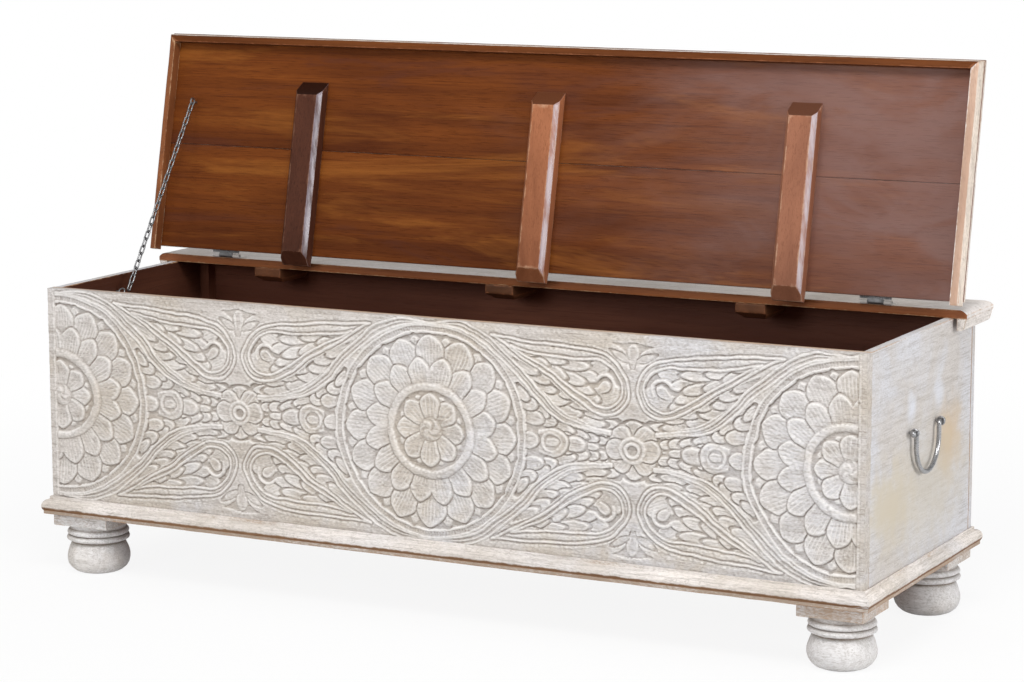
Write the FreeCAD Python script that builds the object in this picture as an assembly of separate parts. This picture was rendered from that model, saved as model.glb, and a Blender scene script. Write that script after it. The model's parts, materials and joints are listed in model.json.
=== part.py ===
import FreeCAD, Part
import math
import os

# A carved dowry chest with its lid thrown open against the stay chain.
# Z is up, X runs along the carved front, and the front faces -Y.
# The origin is on the floor, at the middle of the whole outline.
# All sizes are in millimetres.

# Carcass
body_width = 1500.0
body_depth = 490.0
carcass_bottom = 106.0
wall_top = 501.0
front_thickness = 20.0
side_thickness = 15.0
rear_thickness = 16.0
bottom_thickness = 12.0
post_width = 18.0
post_depth = 22.0
post_drop = 8.0

# Base moulding round the foot of the walls
moulding_height = 31.0
moulding_reach = 15.0
moulding_lip = 4.0
moulding_lip_height = 5.0
moulding_foot = 3.0
moulding_foot_height = 6.0

# Main forms of the front's carving: three medallions in a row, the end ones cut short by the corners
medallion_pitch = 726.0
medallion_rise = 180.0
medallion_radius = 161.0
medallion_border_radius = 165.0
medallion_border_width = 10.0
medallion_border_depth = 2.0
carving_end_border = 13.0
carving_depth = 3.0
petal_drop = 1.2
petal_count = 16
petal_reach = 133.0
petal_radius = 25.0
flower_ring_radius = 78.0
flower_ring_width = 14.0
flower_petal_count = 8
flower_petal_reach = 44.0
flower_petal_radius = 14.0
flower_hub_radius = 18.0

# Between two medallions: a rosette, four drops round it, and a cluster of leaves on each side
rosette_radius = 49.0
rosette_petal_reach = 31.0
rosette_petal_radius = 13.0
rosette_hub_radius = 24.0
drop_round_radius = 40.0
drop_round_across = 303.0
drop_round_rise = 102.0
drop_tip_across = 150.0
drop_tip_rise = 149.0
cluster_gap = 2.0
cluster_root_across = 156.0
cluster_root_rise = 80.0
cluster_waist_across = 222.0
cluster_waist_rise = 43.0
cluster_end_across = 318.0
cluster_end_rise = 24.0
cluster_bud_across = 224.0
cluster_bud_radius = 18.0

# Plinth blocks and turned feet
block_side = 110.0
foot_height = 85.0
bun_radius = 55.0
bun_height = 52.0
foot_flat_radius = 36.0
groove_radius = 45.5
groove_height = 3.0
ring_radius = 55.0
ring_height = 10.5
collar_radius = 54.0
collar_height = 11.0
foot_neck_radius = 49.0
tenon_radius = 14.0
tenon_length = 17.0
tenon_clearance = 0.1
tenon_end_gap = 1.0

# Fixed strip along the rear of the top
board_thickness = 14.0
strip_depth = 113.0
side_overhang = 24.0
rear_overhang = 17.0
edge_inset = 13.0
edge_drop = 7.5
edge_bulge = 1.3
rim_width = 17.0
rim_depth = 20.0
rim_wall_gap = 7.0
rim_step = 1.0
rim_taper = 4.0
rim_round = 5.0

# Lid, described closed: distances run forward from the hinge pin
lid_open_angle = 102.15
lid_length = 396.5
lid_joint_gap = 8.0
lid_seat_gap = 0.5
lid_seam = 196.0
seam_groove = 0.8
rim_end_gap = 1.0

# Battens under the lid and blocks under the strip
batten_base = 54.0
batten_face = 40.0
batten_height = 28.0
batten_side = 19.0
batten_front_gap = 62.5
batten_tail = 11.0
batten_hip = 25.0
batten_tail_hip = 24.0
batten_tail_end = 11.0
batten_relief = 1.5
batten_relief_run = 5.0
batten_end_inset = 280.0
batten_offset = 7.0
strip_block_offset = 79.0
strip_block_hip = 22.0
strip_block_end = 16.0

# Butt hinges on the top faces
hinge_length = 55.0
hinge_end_knuckle = 13.5
hinge_leaf_depth = 24.0
hinge_leaf_thickness = 1.4
knuckle_radius = 4.0
knuckle_gap = 0.3
knuckle_rise = 0.4
pin_forward = 2.0
hinge_pin_radius = 1.5
hinge_pin_clearance = 0.05
hinge_pin_head = 0.8
hinge_left_inset = 124.0
hinge_right_inset = 130.0
leaf_notch_gap = 0.5

# Hinge screws
screw_setback = 15.0
screw_pitch = 19.0
screw_head_radius = 3.0
screw_shank_radius = 1.4
screw_length = 11.0
screw_clearance = 0.1

# Plinth screws
plinth_screw_inset = 40.0
plinth_screw_far_inset = 85.0
plinth_screw_head_radius = 4.5
plinth_screw_shank_radius = 2.2
plinth_screw_length = 30.0

# Stay chain and its two screw eyes
chain_wall_gap = 24.0
lid_eye_forward = 272.0
lid_eye_stand = 13.0
box_eye_setback = 184.0
box_eye_drop = 29.0
chain_upper_links = 12
chain_lower_links = 14
link_wire = 2.8
link_inner_width = 4.4
link_slack = 0.3
eye_inner_radius = 4.4
eye_wire = 3.0
eye_thread_length = 9.0
eye_side_gap = 0.6

# Bail handles on the two ends
handle_height = 348.0
handle_spacing = 118.0
handle_leg = 14.0
bail_radius = 3.75
bail_bend = 5.0
bail_ball_radius = 5.0
bail_ball_gap = 0.6
handle_eye_stand = 9.5
handle_eye_clearance = 0.35
handle_eye_wire = 3.6
handle_eye_thread = 11.0

# One overrun for every cutting tool
overrun = 5.0

# Shares of the moulding's round face, from its lower to its upper corner
moulding_round_share = 0.5

# Places worked out from the sizes above
half_width = body_width / 2
total_depth = moulding_reach + body_depth + rear_overhang
front_y = moulding_reach - total_depth / 2
rear_y = front_y + body_depth
inner_x = half_width - side_thickness
inner_front = front_y + front_thickness
inner_rear = rear_y - rear_thickness
bottom_top = carcass_bottom + bottom_thickness
moulding_top = carcass_bottom + moulding_height
foot_inset = block_side / 2
top_half = half_width + side_overhang
strip_top = wall_top + board_thickness
strip_rear = rear_y + rear_overhang
strip_front = strip_rear - rear_overhang - strip_depth
rim_inner_x = half_width + rim_wall_gap
pin_y = strip_front - pin_forward
pin_z = strip_top + knuckle_rise + knuckle_radius
lid_under = wall_top + lid_seat_gap
lid_top = lid_under + board_thickness
lid_front = pin_y - lid_length
lid_rear = pin_y - lid_joint_gap
chain_x = chain_wall_gap - inner_x
link_half_width = link_inner_width / 2 + link_wire
box_eye_x = chain_x - link_half_width - eye_side_gap - eye_inner_radius - eye_wire
box_eye_stand = box_eye_x + inner_x
lid_eye_y = pin_y - lid_eye_forward
lid_eye_z = lid_under - lid_eye_stand
box_eye_y = front_y + box_eye_setback
box_eye_z = wall_top - box_eye_drop
left_hinge_x = hinge_left_inset - half_width
right_hinge_x = half_width - hinge_right_inset
batten_pitch = half_width - batten_end_inset
handle_y = (front_y + rear_y) / 2
bail_leg_y = handle_spacing / 2 - handle_eye_wire / 2 - bail_ball_gap - bail_bend

x_axis = FreeCAD.Vector(1, 0, 0)
y_axis = FreeCAD.Vector(0, 1, 0)
z_axis = FreeCAD.Vector(0, 0, 1)
nodes = {}


def vec(x, y, z):
    return FreeCAD.Vector(x, y, z)


def box(low, high):
    """A block between two opposite corners."""
    size = high - low
    return Part.makeBox(size.x, size.y, size.z, low)


def cylinder(start, direction, radius, length):
    return Part.makeCylinder(radius, length, start, direction)


def outline(points):
    """A closed face of straight sides."""
    return Part.Face(Part.makePolygon(points + points[:1]))


def one_solid(shape):
    """The single solid that a boolean result holds."""
    solids = shape.removeSplitter().Solids
    if len(solids) != 1:
        raise RuntimeError("expected one solid, found %d" % len(solids))
    return solids[0]


def turned(shape, angle, centre, axis):
    copy = shape.copy()
    copy.rotate(centre, axis, angle)
    return copy


def opened(shape):
    """A lid piece turned from the closed place to the open one."""
    return turned(shape, -lid_open_angle, vec(0, pin_y, pin_z), x_axis)


def mirrored_x(shape):
    return shape.mirror(vec(0, 0, 0), x_axis)


def mirrored_depth(shape):
    """The copy on the other side of the carcass's middle plane."""
    return shape.mirror(vec(0, handle_y, 0), y_axis)


def section(steps, to_3d):
    """A closed face: each step is a corner, or an arc's middle and end, met in order."""
    here = steps[0][-2:]
    edges = []
    for step in steps[1:] + steps[:1]:
        there = step[-2:]
        if len(step) > len(there):
            edges.append(Part.Arc(to_3d(*here), to_3d(*step[:2]), to_3d(*there)).toShape())
        else:
            edges.append(Part.makeLine(to_3d(*here), to_3d(*there)))
        here = there
    return Part.Face(Part.Wire(edges))


def board_section(low, high, top, low_moulded, high_moulded, to_3d):
    """The section of a top board whose chosen edges are rounded over."""
    bottom = top - board_thickness
    drop = top - edge_drop
    bulge_z = (top + drop) / 2 + edge_bulge
    bulge_inset = edge_inset / 2 - edge_bulge
    steps = [(high, bottom), (low, bottom)]
    if low_moulded:
        steps += [(low, drop), (low + bulge_inset, bulge_z, low + edge_inset, top)]
    else:
        steps += [(low, top)]
    if high_moulded:
        steps += [(high - edge_inset, top), (high - bulge_inset, bulge_z, high, drop)]
    else:
        steps += [(high, top)]
    return section(steps, to_3d)


def moulded_board(front, rear, top, front_moulded, rear_moulded):
    """A top board with moulded ends and one moulded long edge."""
    along = board_section(front, rear, top, front_moulded, rear_moulded, lambda y, z: vec(-top_half, y, z))
    across = board_section(-top_half, top_half, top, True, True, lambda x, z: vec(x, front, z))
    return one_solid(along.extrude(vec(2 * top_half, 0, 0)).common(across.extrude(vec(0, rear - front, 0))))


def rim_section(inner, outer, top, to_3d):
    """The section of a rail under a top edge: tapered outside, round below."""
    bottom = top - rim_depth
    toward = 1 if outer > inner else -1
    face = outer - toward * rim_step
    low = face - toward * rim_taper
    round_start = low + toward * rim_taper * rim_round / rim_depth
    corner = rim_round * (1 - math.sqrt(0.5))
    steps = [(inner, bottom), (inner, top), (face, top), (round_start, bottom + rim_round),
             (low - toward * corner, bottom + corner, low - toward * rim_round, bottom)]
    return section(steps, to_3d)


def plan_prism(places, low, high):
    """A flat outline in plan, raised between two heights."""
    return outline([vec(x, y, low) for x, y in places]).extrude(vec(0, 0, high - low))


def long_rim(inner_y, outer_y, top):
    """A rail along X with both ends mitred."""
    end = rim_section(inner_y, outer_y, top, lambda y, z: vec(-top_half, y, z))
    bar = end.extrude(vec(2 * top_half, 0, 0))
    plan = [(-top_half, outer_y), (top_half, outer_y), (rim_inner_x, inner_y), (-rim_inner_x, inner_y)]
    return one_solid(bar.common(plan_prism(plan, top - rim_depth, top)))


def side_rim(square_y, inner_y, outer_y, top):
    """The right-hand rail, square at one end and mitred at the other."""
    start, end = min(square_y, outer_y), max(square_y, outer_y)
    face = rim_section(rim_inner_x, top_half, top, lambda x, z: vec(x, start, z))
    bar = face.extrude(vec(0, end - start, 0))
    plan = [(rim_inner_x, square_y), (top_half, square_y), (top_half, outer_y), (rim_inner_x, inner_y)]
    return one_solid(bar.common(plan_prism(plan, top - rim_depth, top)))


def batten(centre_x, front, rear, top, front_hip, front_end, rear_hip, rear_end):
    """A batten along Y: bevelled long edges, and each end sloped over its hip."""
    bottom = top - batten_height
    half_base, half_face = batten_base / 2, batten_face / 2
    shoulder = top - batten_side
    section = outline([vec(centre_x - half_base, front, top), vec(centre_x + half_base, front, top),
                       vec(centre_x + half_base, front, shoulder), vec(centre_x + half_face, front, bottom),
                       vec(centre_x - half_face, front, bottom), vec(centre_x - half_base, front, shoulder)])
    left = centre_x - half_base
    profile = [vec(left, front, top), vec(left, front, top - front_end), vec(left, front + front_hip, bottom)]
    if rear_hip:
        profile += [vec(left, rear - rear_hip, bottom), vec(left, rear, top - rear_end)]
    else:
        profile += [vec(left, rear, bottom)]
    profile += [vec(left, rear, top)]
    side = outline(profile).extrude(vec(batten_base, 0, 0))
    return one_solid(section.extrude(vec(0, rear - front, 0)).common(side))


def screw(head_place, inward, head_radius, shank_radius, length, grow=0.0):
    """A flat-headed screw whose head is flush at head_place; grow widens it for its hole."""
    depth = head_radius - shank_radius
    head = Part.makeCone(head_radius + grow, shank_radius + grow, depth, head_place, inward)
    shank = cylinder(head_place, inward, shank_radius + grow, length + grow)
    return one_solid(head.fuse(shank))


def screw_eye(centre, inward, ring_axis, inner_radius, wire, stand, thread):
    """A ring on a threaded shank that goes into the wood along inward."""
    ring_radius_here = inner_radius + wire / 2
    ring = Part.makeTorus(ring_radius_here, wire / 2, centre, ring_axis)
    shank_start = centre + inward * ring_radius_here
    shank = cylinder(shank_start, inward, wire / 2, stand - ring_radius_here + thread)
    return one_solid(ring.fuse(shank))


def eye_hole(centre, inward, wire, stand, thread):
    """The pilot hole of a screw eye."""
    start = centre + inward * stand
    return cylinder(start, inward, wire / 2 + screw_clearance, thread + screw_clearance)


def pipe(edges, radius):
    """A round bar along a smooth path."""
    path = Part.Wire(edges)
    start = edges[0].valueAt(edges[0].FirstParameter)
    heading = edges[0].tangentAt(edges[0].FirstParameter)
    ring = Part.Wire([Part.Circle(start, heading, radius).toShape()])
    return path.makePipeShell([ring], True, False)


def on_face(across, up, depth):
    """A place behind the front's face, counted from the middle medallion."""
    return vec(across, front_y + depth, moulding_top + medallion_rise + up)


def round_form(across, up, radius, top, depth):
    """A disc lying between two depths behind the face."""
    return cylinder(on_face(across, up, top), y_axis, radius, depth - top)


def wreath(across, count, reach, radius):
    """Round petals in a circle, with the plate that joins them."""
    petals = []
    for index in range(count):
        angle = 2 * math.pi * index / count
        place = (across + reach * math.cos(angle), reach * math.sin(angle))
        petals.append(round_form(*place, radius, petal_drop, carving_depth))
    return round_form(across, 0, reach, petal_drop, carving_depth).multiFuse(petals)


def medallion(across):
    """What is cut away round the petals, the ring and the inner flower of one medallion."""
    border = round_form(across, 0, medallion_border_radius + medallion_border_width, -overrun,
                        medallion_border_depth)
    border = border.cut(round_form(across, 0, medallion_border_radius, -overrun, medallion_border_depth))
    field = round_form(across, 0, medallion_radius, -overrun, carving_depth)
    well = round_form(across, 0, flower_ring_radius - flower_ring_width, 0, carving_depth)
    field = field.cut(wreath(across, petal_count, petal_reach, petal_radius).cut(well))
    field = field.cut(round_form(across, 0, flower_ring_radius, 0, carving_depth).cut(well))
    field = field.cut(wreath(across, flower_petal_count, flower_petal_reach, flower_petal_radius))
    return [border, field.cut(round_form(across, 0, flower_hub_radius, 0, carving_depth))]


def rosette(across):
    """What is cut away round the small rosette between two medallions."""
    field = round_form(across, 0, rosette_radius, -overrun, carving_depth)
    field = field.cut(wreath(across, flower_petal_count, rosette_petal_reach, rosette_petal_radius))
    return field.cut(round_form(across, 0, rosette_hub_radius, 0, carving_depth))


def drop_field(across, side, up):
    """A drop-shaped field whose point lies beside the medallion; side and up are 1 or -1."""
    away = math.hypot(drop_tip_across - drop_round_across, drop_tip_rise - drop_round_rise)
    lean = math.atan2(drop_tip_rise - drop_round_rise, drop_tip_across - drop_round_across)
    spread = math.acos(drop_round_radius / away)

    def on_round(angle):
        return (drop_round_across + drop_round_radius * math.cos(angle),
                drop_round_rise + drop_round_radius * math.sin(angle))

    steps = [(drop_tip_across, drop_tip_rise), on_round(lean - spread),
             on_round(lean + math.pi) + on_round(lean + spread)]
    face = section(steps, lambda u, v: on_face(across + side * u, up * v, -overrun))
    return face.extrude(vec(0, overrun + carving_depth, 0))


def cluster_field(across, side):
    """The wedge of leaves between a medallion and the rosette beside it."""
    corners = [(cluster_root_across, cluster_root_rise), (cluster_waist_across, cluster_waist_rise),
               (cluster_end_across, cluster_end_rise)]
    corners += [(u, -v) for u, v in reversed(corners)]
    wedge = outline([on_face(across + side * u, v, -overrun) for u, v in corners])
    wedge = wedge.extrude(vec(0, overrun + carving_depth, 0))
    clear = medallion_border_radius + medallion_border_width + cluster_gap
    wedge = wedge.cut(round_form(across, 0, clear, -overrun, carving_depth))
    bud = round_form(across + side * cluster_bud_across, 0, cluster_bud_radius, petal_drop, carving_depth)
    return wedge.cut(bud)


def carved_board(board):
    """The front board with the main forms of its carving."""
    cuts = []
    for across in (-medallion_pitch, 0, medallion_pitch):
        cuts += medallion(across)
        for side in (1, -1):
            middle = across + side * medallion_pitch / 2
            if abs(middle) > half_width:
                continue
            cuts.append(cluster_field(across, side))
            cuts += [drop_field(across, side, 1), drop_field(across, side, -1)]
            if middle * side > 0:
                cuts.append(rosette(middle))
    end = half_width - carving_end_border
    limits = box(vec(-end, front_y - overrun, moulding_top), vec(end, inner_front, wall_top))
    return one_solid(board.cut([limits.common(cut) for cut in cuts]))


def build_carcass():
    """Walls, bottom board and corner posts."""
    side = box(vec(inner_x, inner_front, carcass_bottom), vec(half_width, inner_rear, wall_top))
    for place in handle_eye_places(1):
        side = side.cut(eye_hole(place, vec(-1, 0, 0), handle_eye_wire, handle_eye_stand, handle_eye_thread))
    nodes["right_side"] = one_solid(side)
    left = mirrored_x(side)
    box_eye = vec(box_eye_x, box_eye_y, box_eye_z)
    left = left.cut(eye_hole(box_eye, vec(-1, 0, 0), eye_wire, box_eye_stand, eye_thread_length))
    nodes["left_side"] = one_solid(left)
    front = box(vec(-half_width, front_y, carcass_bottom), vec(half_width, inner_front, wall_top))
    nodes["front_panel"] = carved_board(front)
    nodes["rear_panel"] = box(vec(-half_width, inner_rear, carcass_bottom),
                              vec(half_width, rear_y, wall_top))
    bottom = box(vec(-inner_x, inner_front, carcass_bottom), vec(inner_x, inner_rear, bottom_top))
    for place in plinth_screw_places():
        bottom = bottom.cut(plinth_screw(place, screw_clearance))
    nodes["bottom_board"] = one_solid(bottom)
    post_top = wall_top - post_drop
    post = box(vec(inner_x - post_width, inner_front, bottom_top),
               vec(inner_x, inner_front + post_depth, post_top))
    rear_post = box(vec(inner_x - post_width, inner_rear - post_depth, bottom_top),
                    vec(inner_x, inner_rear, post_top))
    nodes["front_right_post"] = post
    nodes["front_left_post"] = mirrored_x(post)
    nodes["rear_right_post"] = rear_post
    nodes["rear_left_post"] = mirrored_x(rear_post)


def moulding_section(outward, wall, to_3d):
    """The section of the base moulding on a wall face, a bead between two steps."""
    low, high = carcass_bottom, moulding_top
    lip = wall + outward * moulding_lip
    reach = wall + outward * moulding_reach
    foot = wall + outward * (moulding_reach - moulding_foot)
    bead_low = low + moulding_foot_height
    bead_high = high - moulding_lip_height
    bead_middle = bead_low + (bead_high - bead_low) * moulding_round_share
    steps = [(wall, low), (foot, low), (foot, bead_low), (reach, bead_middle, lip, bead_high), (lip, high),
             (wall, high)]
    return section(steps, to_3d)


def build_mouldings():
    """Four mitred lengths of base moulding."""
    outer = half_width + moulding_reach
    outer_front = front_y - moulding_reach
    outer_rear = rear_y + moulding_reach
    front = moulding_section(-1, front_y, lambda y, z: vec(-outer, y, z)).extrude(vec(2 * outer, 0, 0))
    plan = [(-outer, outer_front), (outer, outer_front), (half_width, front_y), (-half_width, front_y)]
    nodes["front_moulding"] = one_solid(front.common(plan_prism(plan, carcass_bottom, moulding_top)))
    nodes["rear_moulding"] = mirrored_depth(nodes["front_moulding"])
    side = moulding_section(1, half_width, lambda x, z: vec(x, outer_front, z))
    side = side.extrude(vec(0, outer_rear - outer_front, 0))
    plan = [(half_width, front_y), (outer, outer_front), (outer, outer_rear), (half_width, rear_y)]
    nodes["right_moulding"] = one_solid(side.common(plan_prism(plan, carcass_bottom, moulding_top)))
    nodes["left_moulding"] = mirrored_x(nodes["right_moulding"])


def plinth_screw_places():
    """The head places of the screws through the bottom board into the blocks."""
    places = []
    for sx in (-1, 1):
        for y in (front_y + plinth_screw_inset, rear_y - plinth_screw_inset):
            for inset in (plinth_screw_inset, plinth_screw_far_inset):
                places.append(vec(sx * (half_width - inset), y, bottom_top))
    return places


def plinth_screw(place, grow=0.0):
    return screw(place, vec(0, 0, -1), plinth_screw_head_radius, plinth_screw_shank_radius,
                 plinth_screw_length, grow)


def turned_foot(centre):
    """A bun foot turned in one piece with its tenon."""
    groove_low = bun_height
    ring_low = groove_low + groove_height
    ring_top = ring_low + ring_height
    collar_top = ring_top + collar_height
    tenon_top = foot_height + tenon_length
    steps = [(0, 0), (foot_flat_radius, 0), (bun_radius, bun_height / 2, groove_radius, groove_low),
             (groove_radius, ring_low),
             (ring_radius, (ring_low + ring_top) / 2, foot_neck_radius, ring_top),
             (collar_radius, (ring_top + collar_top) / 2, foot_neck_radius, collar_top),
             (foot_neck_radius, foot_height), (tenon_radius, foot_height), (tenon_radius, tenon_top),
             (0, tenon_top)]
    face = section(steps, lambda r, z: vec(centre.x + r, centre.y, z))
    return one_solid(face.revolve(vec(centre.x, centre.y, 0), z_axis, 360))


def build_feet():
    """Plinth blocks, their screws and the turned feet."""
    corners = {"front_left": (-1, front_y, 1), "front_right": (1, front_y, 1),
               "rear_left": (-1, rear_y, -1), "rear_right": (1, rear_y, -1)}
    for name, (sx, wall_y, inward) in corners.items():
        centre = vec(sx * (half_width - foot_inset), wall_y + inward * foot_inset, 0)
        block = box(centre + vec(-foot_inset, -foot_inset, foot_height),
                    centre + vec(foot_inset, foot_inset, carcass_bottom))
        socket = cylinder(centre + vec(0, 0, foot_height), z_axis, tenon_radius + tenon_clearance,
                          tenon_length + tenon_end_gap)
        block = block.cut(socket)
        for place in plinth_screw_places():
            block = block.cut(plinth_screw(place, screw_clearance))
        nodes[name + "_block"] = one_solid(block)
        nodes[name + "_foot"] = turned_foot(centre)
    nodes["plinth_screws"] = Part.makeCompound([plinth_screw(p) for p in plinth_screw_places()])


def batten_centres():
    return [batten_offset + step * batten_pitch for step in (-1, 0, 1)]


def build_strip():
    """The fixed rear strip of the top, its rim rails and the blocks beneath."""
    strip = moulded_board(strip_front, strip_rear, strip_top, False, True)
    for place in hinge_screw_places(1):
        strip = strip.cut(hinge_screw(place, screw_clearance))
    nodes["top_strip"] = one_solid(strip)
    inner_rear_rim = rear_y + rear_overhang - rim_width
    nodes["strip_rear_rim"] = long_rim(inner_rear_rim, strip_rear, wall_top)
    right = side_rim(strip_front, inner_rear_rim, strip_rear, wall_top)
    nodes["strip_right_rim"] = right
    nodes["strip_left_rim"] = mirrored_x(right)
    names = ("left_strip_block", "middle_strip_block", "right_strip_block")
    for name, centre in zip(names, batten_centres()):
        nodes[name] = batten(centre - strip_block_offset, strip_front, inner_rear, wall_top,
                             strip_block_hip, strip_block_end, 0, 0)


def build_lid():
    """Two lid boards, the rim rails under their edges and three battens."""
    inner_front_rim = lid_front + rim_width
    panel = moulded_board(lid_front, lid_rear, lid_top, True, False)
    for place in hinge_screw_places(-1):
        panel = panel.cut(hinge_screw(place, screw_clearance))
    eye = vec(chain_x, lid_eye_y, lid_eye_z)
    panel = panel.cut(eye_hole(eye, z_axis, eye_wire, lid_eye_stand, eye_thread_length))
    seam_y = pin_y - lid_seam
    half = box(vec(-top_half, seam_y, lid_under), vec(top_half, lid_rear, lid_top))
    vee = outline([vec(-top_half, seam_y, lid_under + seam_groove),
                   vec(-top_half, seam_y + seam_groove, lid_under),
                   vec(-top_half, seam_y - seam_groove, lid_under)]).extrude(vec(2 * top_half, 0, 0))
    panel = panel.cut(vee)
    nodes["lid_rear_board"] = opened(one_solid(panel.common(half)))
    nodes["lid_front_board"] = opened(one_solid(panel.cut(half)))
    nodes["lid_front_rim"] = opened(long_rim(inner_front_rim, lid_front, lid_under))
    right = side_rim(pin_y - rim_end_gap, inner_front_rim, lid_front, lid_under)
    nodes["lid_right_rim"] = opened(right)
    nodes["lid_left_rim"] = opened(mirrored_x(right))
    front, rear = inner_front_rim + batten_front_gap, pin_y + batten_tail
    relief_front = lid_rear + batten_relief_run
    for name, centre in zip(("left_lid_batten", "middle_lid_batten", "right_lid_batten"), batten_centres()):
        bar = batten(centre, front, rear, lid_under, batten_hip, 0, batten_tail_hip, batten_tail_end)
        relief = box(vec(centre - batten_base, relief_front, lid_under - batten_relief),
                     vec(centre + batten_base, rear + overrun, lid_under + overrun))
        nodes[name] = opened(one_solid(bar.cut(relief)))


def hinge_screw_places(side):
    """Head places on the strip (side 1) or on the closed lid (side -1)."""
    top = strip_top if side > 0 else lid_top
    places = []
    head_y = pin_y + side * screw_setback
    for centre in (left_hinge_x, right_hinge_x):
        for step in (-1, 0, 1):
            places.append(vec(centre + step * screw_pitch, head_y, top + hinge_leaf_thickness))
    return places


def hinge_screw(place, grow=0.0):
    return screw(place, vec(0, 0, -1), screw_head_radius, screw_shank_radius, screw_length, grow)


def hinge_leaf(centre_x, side):
    """One leaf, flat on its board: end knuckles on the strip, the middle one on the lid."""
    top = strip_top if side > 0 else lid_top
    start = centre_x - hinge_length / 2
    end = centre_x + hinge_length / 2
    first_joint = start + hinge_end_knuckle
    last_joint = end - hinge_end_knuckle
    if side > 0:
        spans = [(start, first_joint), (last_joint, end)]
        gaps = [(first_joint - knuckle_gap, last_joint + knuckle_gap)]
    else:
        spans = [(first_joint + knuckle_gap, last_joint - knuckle_gap)]
        gaps = [(start - overrun, first_joint + knuckle_gap), (last_joint - knuckle_gap, end + overrun)]
    far = pin_y + side * hinge_leaf_depth
    leaf = box(vec(start, min(pin_y, far), top), vec(end, max(pin_y, far), top + hinge_leaf_thickness))
    for low, high in spans:
        leaf = leaf.fuse(cylinder(vec(low, pin_y, pin_z), x_axis, knuckle_radius, high - low))
    notch = knuckle_radius + leaf_notch_gap
    for low, high in gaps:
        leaf = leaf.cut(box(vec(low, pin_y - notch, top - overrun), vec(high, pin_y + notch, pin_z + notch)))
    bore = cylinder(vec(start - overrun, pin_y, pin_z), x_axis, hinge_pin_radius + hinge_pin_clearance,
                    hinge_length + 2 * overrun)
    leaf = leaf.cut(bore)
    for place in hinge_screw_places(side):
        if abs(place.x - centre_x) < hinge_length:
            leaf = leaf.cut(hinge_screw(place, screw_clearance))
    return one_solid(leaf)


def build_hinges():
    for name, centre in (("left", left_hinge_x), ("right", right_hinge_x)):
        nodes[name + "_hinge_strip_leaf"] = hinge_leaf(centre, 1)
        nodes[name + "_hinge_lid_leaf"] = opened(hinge_leaf(centre, -1))
        start = centre - hinge_length / 2 - hinge_pin_head
        pin = cylinder(vec(start, pin_y, pin_z), x_axis, hinge_pin_radius, hinge_length + 2 * hinge_pin_head)
        nodes[name + "_hinge_pin"] = pin
    nodes["strip_hinge_screws"] = Part.makeCompound([hinge_screw(p) for p in hinge_screw_places(1)])
    nodes["lid_hinge_screws"] = Part.makeCompound([opened(hinge_screw(p)) for p in hinge_screw_places(-1)])


def chain_ends():
    """The ends of the chain's middle line when the lid is open: it runs close beside the box eye."""
    top = opened(Part.Vertex(chain_x, lid_eye_y, lid_eye_z)).Point
    return top, vec(chain_x, box_eye_y, box_eye_z)


def chain_link(pitch):
    """A link in the XZ plane, its upper inner end at the origin and its length down -Z."""
    bend = (link_inner_width + link_wire) / 2
    top = -link_inner_width / 2
    bottom = link_inner_width / 2 - pitch - link_slack
    edges = [Part.makeLine(vec(bend, 0, top), vec(bend, 0, bottom)),
             Part.Arc(vec(bend, 0, bottom), vec(0, 0, bottom - bend), vec(-bend, 0, bottom)).toShape(),
             Part.makeLine(vec(-bend, 0, bottom), vec(-bend, 0, top)),
             Part.Arc(vec(-bend, 0, top), vec(0, 0, top + bend), vec(bend, 0, top)).toShape()]
    return pipe(edges, link_wire / 2)


def build_chain():
    """Two runs of links between the lid eye and the box eye, joined at a knee."""
    top, bottom = chain_ends()
    run = bottom - top
    span = run.Length
    count = chain_upper_links + chain_lower_links
    first_gap = eye_inner_radius - link_slack
    last_gap = first_gap + link_slack
    pitch = (span - first_gap - last_gap) / count
    lean = math.degrees(math.atan2(run.y, -run.z))
    link = chain_link(pitch)
    groups = {"chain_upper": [], "chain_lower": []}
    for index in range(count):
        piece = link.copy()
        if index % 2:
            piece.rotate(vec(0, 0, 0), z_axis, 90)
        piece.translate(vec(0, 0, -(first_gap + index * pitch)))
        piece.rotate(vec(0, 0, 0), x_axis, lean)
        piece.translate(top)
        groups["chain_upper" if index < chain_upper_links else "chain_lower"].append(piece)
    for name, pieces in groups.items():
        nodes[name] = Part.makeCompound(pieces)
    knee = top + run * ((first_gap + chain_upper_links * pitch - link_wire / 2) / span)
    closed_eye = vec(chain_x, lid_eye_y, lid_eye_z)
    nodes["lid_chain_eye"] = opened(screw_eye(closed_eye, z_axis, x_axis, eye_inner_radius, eye_wire,
                                              lid_eye_stand, eye_thread_length))
    box_eye = vec(box_eye_x, box_eye_y, box_eye_z)
    nodes["box_chain_eye"] = screw_eye(box_eye, vec(-1, 0, 0), x_axis.cross(run), eye_inner_radius, eye_wire,
                                       box_eye_stand, eye_thread_length)
    print("chain pitch %.3f" % pitch)
    for name, place in (("lid eye", top), ("knee", knee), ("box eye", bottom)):
        print("%s %.4f %.4f %.4f" % (name, place.x, place.y, place.z))
    print("pin %.4f %.4f, lid open %.3f" % (pin_y, pin_z, lid_open_angle))


def handle_eye_places(side):
    """The ring middles of one end's two handle eyes."""
    x = side * (half_width + handle_eye_stand)
    return [vec(x, handle_y + step * handle_spacing / 2, handle_height) for step in (-1, 1)]


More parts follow.
